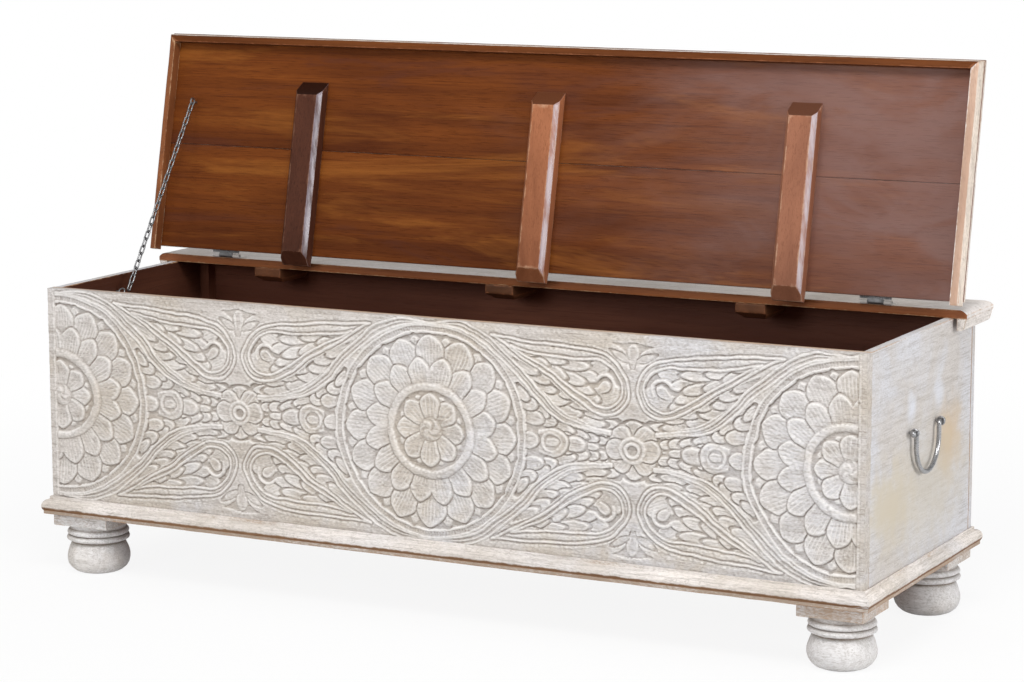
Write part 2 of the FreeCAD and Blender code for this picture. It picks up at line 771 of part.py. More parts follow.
def bail(side):
    """A bail bent from one rod, its ends turned out through the eyes to a ball."""
    x = side * (half_width + handle_eye_stand)
    leg = bail_leg_y
    stub_end = handle_spacing / 2 + handle_eye_wire / 2 + bail_ball_gap + bail_ball_radius
    bend_end = leg + bail_bend
    corner = bail_bend * (1 - math.sqrt(0.5))
    low = -(bail_bend + handle_leg)

    def at(y, z):
        return vec(x, handle_y + y, handle_height + z)

    edges = [Part.makeLine(at(-stub_end, 0), at(-bend_end, 0)),
             Part.Arc(at(-bend_end, 0), at(-leg - corner, -corner), at(-leg, -bail_bend)).toShape(),
             Part.makeLine(at(-leg, -bail_bend), at(-leg, low)),
             Part.Arc(at(-leg, low), at(0, low - leg), at(leg, low)).toShape(),
             Part.makeLine(at(leg, low), at(leg, -bail_bend)),
             Part.Arc(at(leg, -bail_bend), at(leg + corner, -corner), at(bend_end, 0)).toShape(),
             Part.makeLine(at(bend_end, 0), at(stub_end, 0))]
    rod = pipe(edges, bail_radius)
    for y in (-stub_end, stub_end):
        rod = rod.fuse(Part.makeSphere(bail_ball_radius, at(y, 0)))
    return one_solid(rod)


def build_handles():
    for name, side in (("left", -1), ("right", 1)):
        nodes[name + "_handle_bail"] = bail(side)
        inner_radius = bail_radius + handle_eye_clearance
        eyes = [screw_eye(place, vec(-side, 0, 0), y_axis, inner_radius, handle_eye_wire, handle_eye_stand,
                          handle_eye_thread) for place in handle_eye_places(side)]
        nodes[name + "_handle_eyes"] = Part.makeCompound(eyes)


def main():
    build_carcass()
    build_mouldings()
    build_feet()
    build_strip()
    build_lid()
    build_hinges()
    build_chain()
    build_handles()
    os.makedirs("parts", exist_ok=True)
    for name, shape in nodes.items():
        if not shape.isValid():
            raise RuntimeError(name + " is not a valid shape")
        shape.exportStep("parts/" + name + ".step")
    print(len(nodes), "nodes")


main()
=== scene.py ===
"""The looks of a carved and whitewashed dowry chest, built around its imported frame."""
import json
import math

import bmesh
import bpy
import numpy as np
from bpy.props import FloatProperty, FloatVectorProperty, PointerProperty
from mathutils import Matrix, Vector, kdtree


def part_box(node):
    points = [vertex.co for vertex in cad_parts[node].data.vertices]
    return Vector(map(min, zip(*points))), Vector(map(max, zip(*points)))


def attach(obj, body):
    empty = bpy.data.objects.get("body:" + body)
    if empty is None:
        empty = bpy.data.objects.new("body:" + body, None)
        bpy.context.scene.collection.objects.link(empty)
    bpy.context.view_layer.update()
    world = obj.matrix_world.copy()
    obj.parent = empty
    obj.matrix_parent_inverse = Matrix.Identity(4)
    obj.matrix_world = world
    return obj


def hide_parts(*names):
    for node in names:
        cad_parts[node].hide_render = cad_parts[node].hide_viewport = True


bl_info = {
    "name": "Carved dowry chest",
    "version": (1, 0, 0),
    "blender": (4, 5, 0),
    "location": "View3D > Sidebar > Chest",
    "description": "Carves, whitewashes and lights a dowry chest around its packed frame",
    "category": "Object",
}

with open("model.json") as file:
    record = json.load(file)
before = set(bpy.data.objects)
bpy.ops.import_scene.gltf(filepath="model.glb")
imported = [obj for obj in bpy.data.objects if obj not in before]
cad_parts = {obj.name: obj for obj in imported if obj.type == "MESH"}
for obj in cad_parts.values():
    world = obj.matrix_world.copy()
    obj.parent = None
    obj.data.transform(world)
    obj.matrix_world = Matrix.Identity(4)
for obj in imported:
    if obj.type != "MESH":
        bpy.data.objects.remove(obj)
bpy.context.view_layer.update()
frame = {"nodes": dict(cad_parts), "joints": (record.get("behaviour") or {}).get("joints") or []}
front_low, front_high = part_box("front_panel")
MM = 0.001
CORNERS = ("front_left", "front_right", "rear_left", "rear_right")

# Directions of the open lid: out of its underside, and from the hinge to its front edge
LID_ANGLE = math.radians(frame["joints"][0]["range_deg"][1])
LID_UNDER = Vector((0, -math.sin(LID_ANGLE), -math.cos(LID_ANGLE)))
LID_REACH = Vector((0, -math.cos(LID_ANGLE), math.sin(LID_ANGLE)))
LID_TURN = Matrix.Rotation(LID_ANGLE, 3, "X")
PIN = Vector(frame["joints"][0]["pos_m"])
LEFT, RIGHT = Vector((-1, 0, 0)), Vector((1, 0, 0))
FRONT, BACK, DOWN = Vector((0, -1, 0)), Vector((0, 1, 0)), Vector((0, 0, -1))


def length(name, description, default):
    return FloatProperty(name=name, description=description, default=default, unit="LENGTH",
                         subtype="DISTANCE")


def angle(name, description, degrees):
    return FloatProperty(name=name, description=description, default=math.radians(degrees), unit="ROTATION",
                         subtype="ANGLE")


def colour(name, description, *default):
    return FloatVectorProperty(name=name, description=description, size=3, min=0, max=1, subtype="COLOR",
                               default=default)


class CarvingSizes(bpy.types.PropertyGroup):
    """Sizes of the carved front."""
    repeat: length("Repeat", "Distance between two medallions", 0.726)
    middle_height: length("Middle height", "Height of the medallions' middle", 0.317)
    depth: length("Depth", "Depth of the cut ground", 0.0052)
    border: length("End border", "Width of the plain border at each end", 0.014)
    grid: length("Grid", "Spacing of the carved surface's points", 0.0013)
    drift: length("Hand drift", "How far the carver's lines wander", 0.0017)


class FinishColours(bpy.types.PropertyGroup):
    """Colours of the finishes. A wood has light streaks, dark streaks and rubbed edges."""
    paint: colour("Whitewash", "Rubbed whitewash of the front", 0.635, 0.592, 0.56)
    cool: colour("Cool whitewash", "Whitewash of the ends and the rear", 0.63, 0.63, 0.66)
    bright: colour("Bright whitewash", "Whitewash of the feet and their blocks", 0.80, 0.785, 0.78)
    top_white: colour("Top whitewash", "Whitewash of the lid's top and the strip", 0.86, 0.80, 0.755)
    warm_white: colour("Creamy whitewash", "Whitewash of the lid's rim", 0.76, 0.66, 0.57)
    warm: colour("Warm whitewash", "Yellowed patches of whitewash", 0.56, 0.495, 0.42)
    # Chalk also stands for painted highlights on the carved crests
    chalk: colour("Chalk", "Thick whitewash on crests and in cuts", 0.86, 0.835, 0.81)
    # The stain also stands for painted shade in the carved cuts
    stain: colour("Groove stain", "Dirt in the grooves", 0.24, 0.20, 0.165)
    bare: colour("Bare wood", "Wood where the paint is rubbed off", 0.50, 0.30, 0.165)
    end_tan: colour("Tan spot", "Brown spot on the right end", 0.56, 0.42, 0.28)
    end_beige: colour("Beige spot", "Yellowed spots on the right end", 0.55, 0.49, 0.39)
    # Bluish spots beside the right end's handle, laid on as colour
    end_blue: colour("Blue spot", "Bluish smudges on the right end", 0.72, 0.77, 0.88)
    inner_light: colour("Inside light", "Light streaks of the inside", 0.20, 0.072, 0.040)
    inner_dark: colour("Inside dark", "Dark streaks of the inside", 0.095, 0.030, 0.017)
    rail_light: colour("Rail light", "Light streaks of the strip's blocks", 0.30, 0.115, 0.052)
    rail_dark: colour("Rail dark", "Dark streaks of the strip's blocks", 0.13, 0.052, 0.024)
    moulding_light: colour("Moulding light", "Light streaks under the moulding", 0.25, 0.135, 0.07)
    moulding_dark: colour("Moulding dark", "Dark streaks under the moulding", 0.13, 0.062, 0.03)
    strip_light: colour("Strip light", "Light streaks of the fixed strip", 0.30, 0.105, 0.038)
    strip_dark: colour("Strip dark", "Dark streaks of the fixed strip", 0.15, 0.045, 0.016)
    lid_light: colour("Lid light", "Light streaks of the lid's underside", 0.198, 0.053, 0.009)
    lid_dark: colour("Lid dark", "Dark streaks of the lid's underside", 0.062, 0.0135, 0.0035)
    lid_gold: colour("Lid gold", "Golden patches of the lid's underside", 0.33, 0.112, 0.020)
    lid_soot: colour("Lid soot", "Dark patches of the lid's underside", 0.085, 0.026, 0.016)
    # Painted sheen: a pale tone towards the lid's right end, in place of the varnish's reflection
    lid_haze: colour("Lid haze", "Smoky tone towards the lid's right end", 0.205, 0.118, 0.103)
    front_rim_light: colour("Front rim light", "Light streaks of the front rim", 0.185, 0.056, 0.014)
    front_rim_dark: colour("Front rim dark", "Dark streaks of the front rim", 0.080, 0.022, 0.006)
    left_rim_light: colour("Left rim light", "Light streaks of the left rim", 0.30, 0.105, 0.036)
    left_rim_dark: colour("Left rim dark", "Dark streaks of the left rim", 0.14, 0.043, 0.015)
    right_rim_light: colour("Right rim light", "Light streaks of the right rim", 0.56, 0.385, 0.29)
    right_rim_dark: colour("Right rim dark", "Dark streaks of the right rim", 0.38, 0.235, 0.165)
    # The battens are one wood: the left one is painted darker and the middle and right ones lighter, as
    # painted shade and light across the lid
    left_batten_light: colour("Left batten light", "Light streaks, left batten", 0.105, 0.036, 0.020)
    left_batten_dark: colour("Left batten dark", "Dark streaks, left batten", 0.036, 0.011, 0.006)
    left_batten_rubbed: colour("Left batten edges", "Rubbed edges, left batten", 0.22, 0.11, 0.07)
    middle_batten_light: colour("Middle batten light", "Light streaks, middle batten", 0.40, 0.150, 0.070)
    middle_batten_dark: colour("Middle batten dark", "Dark streaks, middle batten", 0.20, 0.066, 0.028)
    middle_batten_rubbed: colour("Middle batten edges", "Rubbed edges, middle batten", 0.50, 0.28, 0.17)
    right_batten_light: colour("Right batten light", "Light streaks, right batten", 0.36, 0.150, 0.085)
    right_batten_dark: colour("Right batten dark", "Dark streaks, right batten", 0.19, 0.072, 0.040)
    right_batten_rubbed: colour("Right batten edges", "Rubbed edges, right batten", 0.50, 0.30, 0.20)
    # Painted reflection on the battens' right bevels
    batten_film: colour("Batten film", "Pale film on the battens' right bevels", 0.40, 0.37, 0.43)
    leaf_bare: colour("Leaf metal", "Metal where a hinge leaf's paint is rubbed off", 0.42, 0.41, 0.40)
    steel: colour("Steel", "Plain steel", 0.46, 0.46, 0.47)


class StageSizes(bpy.types.PropertyGroup):
    """The camera, the floor and the light from all round."""
    lens: FloatProperty(name="Lens", description="Focal length", default=107.39, unit="CAMERA")
    azimuth: angle("Azimuth", "Turn of the camera round the chest", 27.641)
    elevation: angle("Elevation", "Height angle of the camera", 9.464)
    roll: angle("Roll", "Turn of the camera about its view", -0.186)
    place: FloatVectorProperty(name="Camera place", description="Where the camera stands", size=3,
                               default=(2.36535, -4.47429, 1.27166), subtype="TRANSLATION", unit="LENGTH")
    floor_radius: length("Floor radius", "Radius of the floor", 60.0)
    daylight: FloatProperty(name="Daylight", description="Strength of the light from all round", default=0.48)


# Small helpers


def mesh_of(name, bm):
    """Turns a bmesh into a mesh."""
    mesh = bpy.data.meshes.new(name)
    bm.to_mesh(mesh)
    bm.free()
    return mesh


def place_mesh(name, mesh, body, material, node):
    """Puts a finished mesh in the scene as the piece that stands for a node of the frame."""
    piece = bpy.data.objects.new(name, mesh)
    bpy.context.scene.collection.objects.link(piece)
    mesh.materials.clear()
    mesh.materials.append(material)
    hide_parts(node)
    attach(piece, body)
    return piece


def dress(node, material):
    """Gives a node of the frame a better material."""
    mesh = frame["nodes"][node].data
    mesh.materials.clear()
    mesh.materials.append(material)


def store(mesh, name, values):
    """A number for each point of the mesh, for the materials."""
    attribute = mesh.attributes.new(name, "FLOAT", "POINT")
    attribute.data.foreach_set("value", np.asarray(values, np.float32))


def points_of(mesh):
    """The places of the mesh's points, one row each."""
    flat = np.zeros(len(mesh.vertices) * 3, np.float32)
    mesh.vertices.foreach_get("co", flat)
    return flat.reshape(-1, 3).astype(float)


def shade_smooth(mesh, sharp_degrees):
    """Smooth shading that stays sharp over edges with a wider angle."""
    mesh.polygons.foreach_set("use_smooth", np.ones(len(mesh.polygons), bool))
    mesh.set_sharp_from_angle(angle=math.radians(sharp_degrees))


def toned(tone, share):
    """A colour made darker or lighter."""
    return tuple(v * share for v in tone)


def eased(x):
    """0 below 0, 1 above 1, and smooth between."""
    x = np.clip(x, 0, 1)
    return x * x * (3 - 2 * x)


def ripple(seed, wavelength, count=7):
    """A smooth field in space of about unit size that never repeats nearby."""
    rng = np.random.default_rng(seed)
    ways = rng.normal(size=(count, 3))
    ways *= (rng.uniform(0.6, 1.6, count) * 2 * math.pi / wavelength / np.linalg.norm(ways, axis=1))[:, None]
    starts = rng.uniform(0, 2 * math.pi, count)

    def field(places):
        return np.sin(places @ ways.T + starts).sum(-1) / math.sqrt(count)

    return field


# Materials

FLOAT, COLOUR, VECTOR = "NodeSocketFloat", "NodeSocketColor", "NodeSocketVector"
ZERO = (0, 0, 0)
GRAIN_TURNS = {"x": ZERO, "y": (0, 0, math.radians(-90)), "z": (0, math.radians(90), 0),
               "lid": (LID_ANGLE - math.pi, 0, 0)}


class Nodes:
    """Builds a node tree with short calls."""

    def __init__(self, tree):
        self.tree = tree
        self.column = 0

    def add(self, kind, **settings):
        node = self.tree.nodes.new(kind)
        node.location = (self.column * 190, -(self.column % 3) * 160)
        self.column += 1
        for key, value in settings.items():
            setattr(node, key, value)
        return node

    def link(self, source, target):
        self.tree.links.new(source, target)

    def feed(self, target, value):
        """Links a socket, or sets a number or colour."""
        if isinstance(value, bpy.types.NodeSocket):
            self.link(value, target)
        elif target.type == "RGBA":
            target.default_value = (*value, 1)
        else:
            target.default_value = value

    def math(self, operation, a, b=0.0, clamp=False):
        node = self.add("ShaderNodeMath", operation=operation, use_clamp=clamp)
        self.feed(node.inputs[0], a)
        self.feed(node.inputs[1], b)
        return node.outputs[0]

    def plus(self, a, b):
        return self.math("ADD", a, b)

    def minus(self, a, b):
        return self.math("SUBTRACT", a, b)

    def times(self, a, b):
        return self.math("MULTIPLY", a, b)

    def vector_math(self, operation, a, b=ZERO):
        node = self.add("ShaderNodeVectorMath", operation=operation)
        self.feed(node.inputs[0], a)
        self.feed(node.inputs[1], b)
        return node.outputs

    def step(self, value, low, high, out_low=0.0, out_high=1.0):
        """Maps low..high smoothly to out_low..out_high."""
        node = self.add("ShaderNodeMapRange", interpolation_type="SMOOTHSTEP")
        for place, number in zip(range(5), (value, low, high, out_low, out_high)):
            self.feed(node.inputs[place], number)
        return node.outputs[0]

    def mix(self, share, a, b):
        node = self.add("ShaderNodeMix", data_type="RGBA")
        self.feed(node.inputs["Factor"], share)
        self.feed(node.inputs[6], a)
        self.feed(node.inputs[7], b)
        return node.outputs[2]

    def noise(self, vector, scale, detail, roughness=0.55, distortion=0.0):
        node = self.add("ShaderNodeTexNoise")
        self.feed(node.inputs["Vector"], vector)
        self.feed(node.inputs["Scale"], scale)
        self.feed(node.inputs["Detail"], detail)
        self.feed(node.inputs["Roughness"], roughness)
        self.feed(node.inputs["Distortion"], distortion)
        return node.outputs["Fac"]

    def mapped(self, vector, scale=(1, 1, 1), turn=ZERO, shift=ZERO):
        node = self.add("ShaderNodeMapping")
        self.feed(node.inputs["Vector"], vector)
        node.inputs["Location"].default_value = shift
        node.inputs["Rotation"].default_value = turn
        node.inputs["Scale"].default_value = scale
        return node.outputs[0]

    def fibres(self, vector, along, across, detail, roughness, distortion=0.0, shift=ZERO):
        """Noise with so many waves in a metre along the grain, and so many across it."""
        drawn = self.mapped(vector, scale=(along, across, across), shift=shift)
        return self.noise(drawn, 1.0, detail, roughness, distortion)

    def jitter(self, vector, scale, amount, detail=3.0, roughness=0.55):
        """Noise about zero, which frays the rim of a mask."""
        return self.times(self.minus(self.noise(vector, scale, detail, roughness), 0.5), amount)

    def spot(self, place, centre, radii):
        """A mask that is 1 round a place and fades out at the given radii."""
        shares = self.vector_math("DIVIDE", self.vector_math("SUBTRACT", place, centre)[0], radii)[0]
        away = self.vector_math("LENGTH", shares)["Value"]
        return self.step(self.plus(away, self.jitter(place, 34.0, 1.2)), 0.1, 1.3, 1.0, 0.0)

    def attribute(self, name):
        return self.add("ShaderNodeAttribute", attribute_name=name).outputs["Fac"]

    def facing(self, direction):
        """How far the surface faces a direction of the rest place."""
        normal = self.add("ShaderNodeTexCoord").outputs["Normal"]
        return self.vector_math("DOT_PRODUCT", normal, direction)["Value"]

    def group(self, tree, **values):
        """Places a node group and feeds its inputs by their names."""
        node = self.add("ShaderNodeGroup", node_tree=tree)
        for label, value in values.items():
            self.feed(node.inputs[label.title()], value)
        return node.outputs


def group_of(name, inputs, outputs, build):
    """A node group made once, with named inputs and outputs."""
    found = bpy.data.node_groups.get(name)
    if found:
        return found
    tree = bpy.data.node_groups.new(name, "ShaderNodeTree")
    for direction, sockets in (("INPUT", inputs), ("OUTPUT", outputs)):
        for label, kind in sockets.items():
            tree.interface.new_socket(label, in_out=direction, socket_type=kind)
    nodes = Nodes(tree)
    entry = nodes.add("NodeGroupInput")
    results = build(nodes, entry.outputs)
    leave = nodes.add("NodeGroupOutput")
    for label, value in results.items():
        nodes.link(value, leave.inputs[label])
    return tree


def wood_figure():
    """Grain along the first axis: slow figure, fine fibre and short pores."""

    def build(n, given):
        place = given["Vector"]
        slow = n.fibres(place, along=0.55, across=7.0, detail=4.0, roughness=0.6, distortion=0.9)
        band = n.fibres(place, along=0.9, across=26.0, detail=3.0, roughness=0.6, distortion=0.5)
        fibre = n.fibres(place, along=6.0, across=420.0, detail=2.0, roughness=0.6)
        dash = n.fibres(place, along=28.0, across=900.0, detail=1.0, roughness=0.5)
        figure = n.plus(n.times(slow, 0.6), n.times(band, 0.4))
        return {"Figure": n.step(figure, 0.36, 0.64), "Fibre": fibre, "Pore": n.step(dash, 0.60, 0.72)}

    outputs = {"Figure": FLOAT, "Fibre": FLOAT, "Pore": FLOAT}
    return group_of("Wood figure", {"Vector": VECTOR}, outputs, build)


FINISH_OUTPUTS = {"Color": COLOUR, "Roughness": FLOAT, "Height": FLOAT}


def whitewash():
    """Rubbed whitewash over wood: brush streaks, bare patches, grooves darkened with dirt and painted shade,
    crests lightened with chalk and painted highlights, and worn edges.
    """

    def build(n, given):
        place, streak, stain = given["Vector"], given["Streak"], given["Stain"]
        figure = n.group(wood_figure(), vector=place)["Figure"]
        brush = n.fibres(place, along=7.0, across=120.0, detail=5.0, roughness=0.7, distortion=0.4)
        speck = n.fibres(place, along=150.0, across=420.0, detail=3.0, roughness=0.7)
        dash = n.fibres(place, along=17.0, across=480.0, detail=2.0, roughness=0.6)
        contour = n.fibres(place, along=20.0, across=52.0, detail=4.0, roughness=0.62, distortion=0.8)
        hairline = n.step(n.math("ABSOLUTE", n.minus(contour, 0.5)), 0.0, 0.016, 1.0, 0.0)
        patch = n.noise(place, 6.0, 5.0, 0.6, 0.5)
        cloud = n.noise(place, 2.4, 3.0, 0.5, 0.6)
        rub = n.plus(n.times(patch, 0.55), n.times(speck, 0.45))

        # Cool clouds and yellowed patches, then the stain along brush marks and fibres
        cool = n.step(cloud, 0.40, 0.60, 0.0, n.times(given["Patchy"], 0.9))
        shade = n.mix(cool, given["Paint"], given["Cool"])
        shade = n.mix(n.step(patch, 0.42, 0.64, 0.0, given["Patchy"]), shade, given["Warm"])
        for mark in (n.step(speck, 0.40, 0.72, 0.0, n.times(streak, 1.1)),
                     n.step(brush, 0.42, 0.68, 0.0, streak),
                     n.times(hairline, n.times(streak, 1.1)),
                     n.step(dash, 0.55, 0.69, 0.0, n.times(streak, 1.5))):
            shade = n.mix(mark, shade, stain)

        # Bare wood on worn edges and where the cover is thin
        bare_edge = n.step(n.plus(n.times(given["Wear"], 0.54), n.times(rub, 0.9)), 0.84, 1.04)
        thin = n.times(n.minus(1.0, given["Cover"]), 0.75)
        bare = n.math("MAXIMUM", bare_edge, n.step(n.plus(thin, rub), 0.80, 1.02))
        timber = n.mix(figure, given["Bare"], n.mix(0.55, given["Bare"], stain))
        shade = n.mix(n.times(bare, 0.76), shade, timber)

        # Dirt and painted shade in the grooves, chalk and painted highlights on the crests
        groove = n.math("MULTIPLY", given["Groove"], n.step(speck, 0.2, 0.6, 0.62, 1.0), clamp=True)
        shade = n.mix(groove, shade, stain)
        shade = n.mix(n.times(given["Crest"], 0.75), shade, given["Chalk"])
        height = n.plus(n.times(dash, -0.5), n.plus(n.times(brush, 0.8), n.times(bare, -0.5)))
        return {"Color": shade, "Roughness": n.minus(0.78, n.times(bare, 0.18)), "Height": height}

    inputs = {"Vector": VECTOR, "Paint": COLOUR, "Cool": COLOUR, "Warm": COLOUR, "Stain": COLOUR,
              "Bare": COLOUR, "Chalk": COLOUR, "Cover": FLOAT, "Streak": FLOAT, "Patchy": FLOAT,
              "Wear": FLOAT, "Groove": FLOAT, "Crest": FLOAT}
    return group_of("Whitewash", inputs, FINISH_OUTPUTS, build)


def oiled_wood():
    """Old varnished wood: streaked figure, dark pores and pale rubbed edges."""

    def build(n, given):
        place, dark = given["Vector"], given["Dark"]
        grain = n.group(wood_figure(), vector=place)
        cloud = n.fibres(place, along=1.4, across=3.2, detail=3.0, roughness=0.55, distortion=0.5)
        share = n.plus(n.times(grain["Figure"], 0.62), n.times(n.step(cloud, 0.36, 0.62), 0.38))
        tone = n.mix(share, dark, given["Light"])
        tone = n.mix(n.step(grain["Fibre"], 0.50, 0.72, 0.0, 0.5), tone, dark)
        tone = n.mix(n.times(grain["Pore"], 0.5), tone, dark)
        rub = n.times(n.noise(place, 70.0, 4.0, 0.7), 0.8)
        edge = n.step(n.plus(n.times(given["Wear"], 0.7), rub), 0.92, 1.16)
        tone = n.mix(n.times(edge, 0.7), tone, given["Rubbed"])
        rough = n.plus(given["Gloss"], n.times(grain["Fibre"], 0.12))
        height = n.minus(n.times(grain["Fibre"], 0.5), grain["Pore"])
        return {"Color": tone, "Roughness": rough, "Height": height}

    inputs = {"Vector": VECTOR, "Light": COLOUR, "Dark": COLOUR, "Rubbed": COLOUR, "Gloss": FLOAT,
              "Wear": FLOAT}
    return group_of("Oiled wood", inputs, FINISH_OUTPUTS, build)


def start_material(name, grain, shift):
    """A material with its Principled BSDF and coordinates that run along the grain."""
    material = bpy.data.materials.new(name)
    material.use_nodes = True
    material.node_tree.nodes.clear()
    n = Nodes(material.node_tree)
    place = n.add("ShaderNodeTexCoord").outputs["Object"]
    place = n.mapped(place, turn=GRAIN_TURNS[grain], shift=shift)
    shader = n.add("ShaderNodeBsdfPrincipled")
    surface = n.add("ShaderNodeOutputMaterial")
    n.link(shader.outputs[0], surface.inputs["Surface"])
    return material, n, place, shader


def finish_shader(n, shader, colour_out, roughness, height, depth):
    """Feeds the shader with a finish whose heights are depth deep."""
    n.link(colour_out, shader.inputs["Base Color"])
    n.link(roughness, shader.inputs["Roughness"])
    node = n.add("ShaderNodeBump")
    node.inputs["Strength"].default_value = 1.0
    node.inputs["Distance"].default_value = depth
    n.link(height, node.inputs["Height"])
    n.link(node.outputs[0], shader.inputs["Normal"])


def wash_nodes(n, place, cover, streak, paint, patchy=0.5, bare=None):
    c = bpy.context.scene.chest_finish
    return n.group(whitewash(), vector=place, paint=paint, cool=c.cool[:], warm=c.warm[:], stain=c.stain[:],
                   bare=bare or c.bare[:], chalk=c.chalk[:], cover=cover, streak=streak, patchy=patchy,
                   wear=n.attribute("wear"), groove=n.attribute("groove"), crest=n.attribute("crest"))


def oil_nodes(n, place, wood, gloss):
    light, dark, rubbed = wood
    return n.group(oiled_wood(), vector=place, light=light, dark=dark, rubbed=rubbed, gloss=gloss,
                   wear=n.attribute("wear"))


def painted(name, paint, cover, streak, shift=ZERO, bare=None):
    """Whitewashed wood or metal."""
    material, n, place, shader = start_material(name, "x", shift)
    out = wash_nodes(n, place, cover, streak, paint, bare=bare)
    finish_shader(n, shader, out["Color"], out["Roughness"], out["Height"], 0.0004)
    shader.inputs["Specular IOR Level"].default_value = 0.35
    return material


def bevel_gloss_and_painted_reflection(n, place, shader, tone, dark, bevel_reflection):
    """A broken, glossy film on a batten's right bevel, lightened as a painted reflection, and a darker upper
    end.
    """
    side = n.facing(RIGHT)
    frayed = n.plus(side, n.jitter(place, 130.0, 0.6, 4.0, 0.7))
    bevel = n.times(n.step(frayed, 0.42, 0.58), n.step(side, 0.9, 0.96, 1.0, 0.0))
    broken = n.fibres(place, along=9.0, across=60.0, detail=4.0, roughness=0.65)
    bevel = n.times(bevel, n.step(broken, 0.36, 0.60, 0.25, 1.0))
    n.link(n.times(bevel, 0.62), shader.inputs["Coat Weight"])
    shader.inputs["Coat Roughness"].default_value = 0.18
    # Painted reflection: the bevel's colour turns pale towards the given colour
    tone = n.mix(n.times(bevel, 0.6), tone, bevel_reflection)
    return n.mix(n.step(n.facing(LID_REACH), 0.30, 0.55, 0.0, 0.95), tone, toned(dark, 0.55))


def varnished(name, wood, grain, shift=ZERO, gloss=0.42, shine=0.2, bevel_reflection=None):
    """Varnished or oiled bare wood, with a glossy film and a painted reflection on its bevels where a colour
    for the reflection is given.
    """
    material, n, place, shader = start_material(name, grain, shift)
    out = oil_nodes(n, place, wood, gloss)
    tone = out["Color"]
    if bevel_reflection:
        tone = bevel_gloss_and_painted_reflection(n, place, shader, tone, wood[1], bevel_reflection)
    finish_shader(n, shader, tone, out["Roughness"], out["Height"], 0.00012)
    shader.inputs["Specular IOR Level"].default_value = shine
    return material


def patches_and_painted_sheen(n, rest, tone):
    """Golden and sooty patches on the lid's wood, under a painted sheen that thickens to the right."""
    c = bpy.context.scene.chest_finish
    across = n.add("ShaderNodeSeparateXYZ")
    n.link(rest, across.inputs[0])
    cloud = n.fibres(rest, along=1.6, across=5.0, detail=4.0, roughness=0.6, distortion=0.8)
    drift = n.plus(across.outputs["X"], n.times(n.minus(cloud, 0.5), 1.1))
    patch = n.fibres(rest, along=3.4, across=7.5, detail=4.0, roughness=0.6, distortion=1.6,
                     shift=(0.4, 0, 0.7))
    # Painted sheen, thicker towards the right
    painted_sheen = n.times(n.step(drift, -0.05, 0.75, 0.0, 0.9), n.step(patch, 0.36, 0.62, 0.62, 1.0))
    gold = n.fibres(rest, along=1.5, across=13.0, detail=5.0, roughness=0.7, distortion=0.7,
                    shift=(0.9, 0.3, 0.2))
    tone = n.mix(n.step(gold, 0.50, 0.70, 0.0, 0.55), tone, c.lid_gold[:])
    tone = n.mix(n.step(gold, 0.34, 0.46, 0.45, 0.0), tone, c.lid_soot[:])
    return n.mix(painted_sheen, tone, c.lid_haze[:])


def two_sided(name, under, wood, paint, edge=0.5, cover=0.86, grain="x", shift=ZERO, gloss=0.4,
              streak=0.34, shine=0.2, with_painted_sheen=False, spots=(), patchy=0.5, depth=0.0002):
    """Whitewash outside and varnished wood on the side that faces under."""
    material, n, place, shader = start_material(name, grain, shift)
    wash = wash_nodes(n, place, cover, streak, paint, patchy)
    oil = oil_nodes(n, place, wood, gloss)
    outside, inside = wash["Color"], oil["Color"]
    rest = n.add("ShaderNodeTexCoord").outputs["Object"]
    # Golden and sooty patches, under a painted sheen that thickens to the right
    if with_painted_sheen:
        inside = patches_and_painted_sheen(n, rest, inside)
    for centre, radii, tone, strength in spots:
        outside = n.mix(n.times(n.spot(rest, centre, radii), strength), outside, tone)
    frayed = n.plus(n.facing(under), n.jitter(place, 60.0, 0.5, roughness=0.6))
    share = n.step(frayed, edge - 0.14, edge + 0.14)

    def blended(label):
        return n.plus(wash[label], n.times(share, n.minus(oil[label], wash[label])))

    finish_shader(n, shader, n.mix(share, outside, inside), blended("Roughness"), blended("Height"), depth)
    shader.inputs["Specular IOR Level"].default_value = shine
    return material


def steel(name, base, roughness, grime=0.35):
    """Galvanised or rubbed steel with dull spots."""
    material, n, place, shader = start_material(name, "x", ZERO)
    fleck = n.noise(place, 420.0, 3.0, 0.6)
    cloud = n.noise(place, 60.0, 3.0, 0.6)
    dull = n.step(n.plus(n.times(fleck, 0.5), n.times(cloud, 0.5)), 0.45, 0.66)
    tone = n.mix(n.times(dull, grime), base, toned(base, 0.32))
    n.link(n.minus(1.0, n.times(dull, 0.25)), shader.inputs["Metallic"])
    finish_shader(n, shader, tone, n.plus(roughness, n.times(dull, 0.25)), fleck, 0.00006)
    return material


# The carving of the front, in millimetres from a medallion's middle

FAR = 1e9


def smooth_line(points, gap=1.0):
    """A smooth line through the points, in steps of about gap."""
    p = np.array(points, float)
    ends = np.vstack([2 * p[0] - p[1], p, 2 * p[-1] - p[-2]])
    parts = []
    for a, b, c, d in zip(ends, ends[1:], ends[2:], ends[3:]):
        t = np.linspace(0, 1, max(2, int(np.linalg.norm(c - b) / gap)), endpoint=False)[:, None]
        parts.append(0.5 * (2 * b + (c - a) * t + (2 * a - 5 * b + 4 * c - d) * t**2
                            + (3 * b - a - 3 * c + d) * t**3))
    return np.vstack(parts + [p[-1:]])


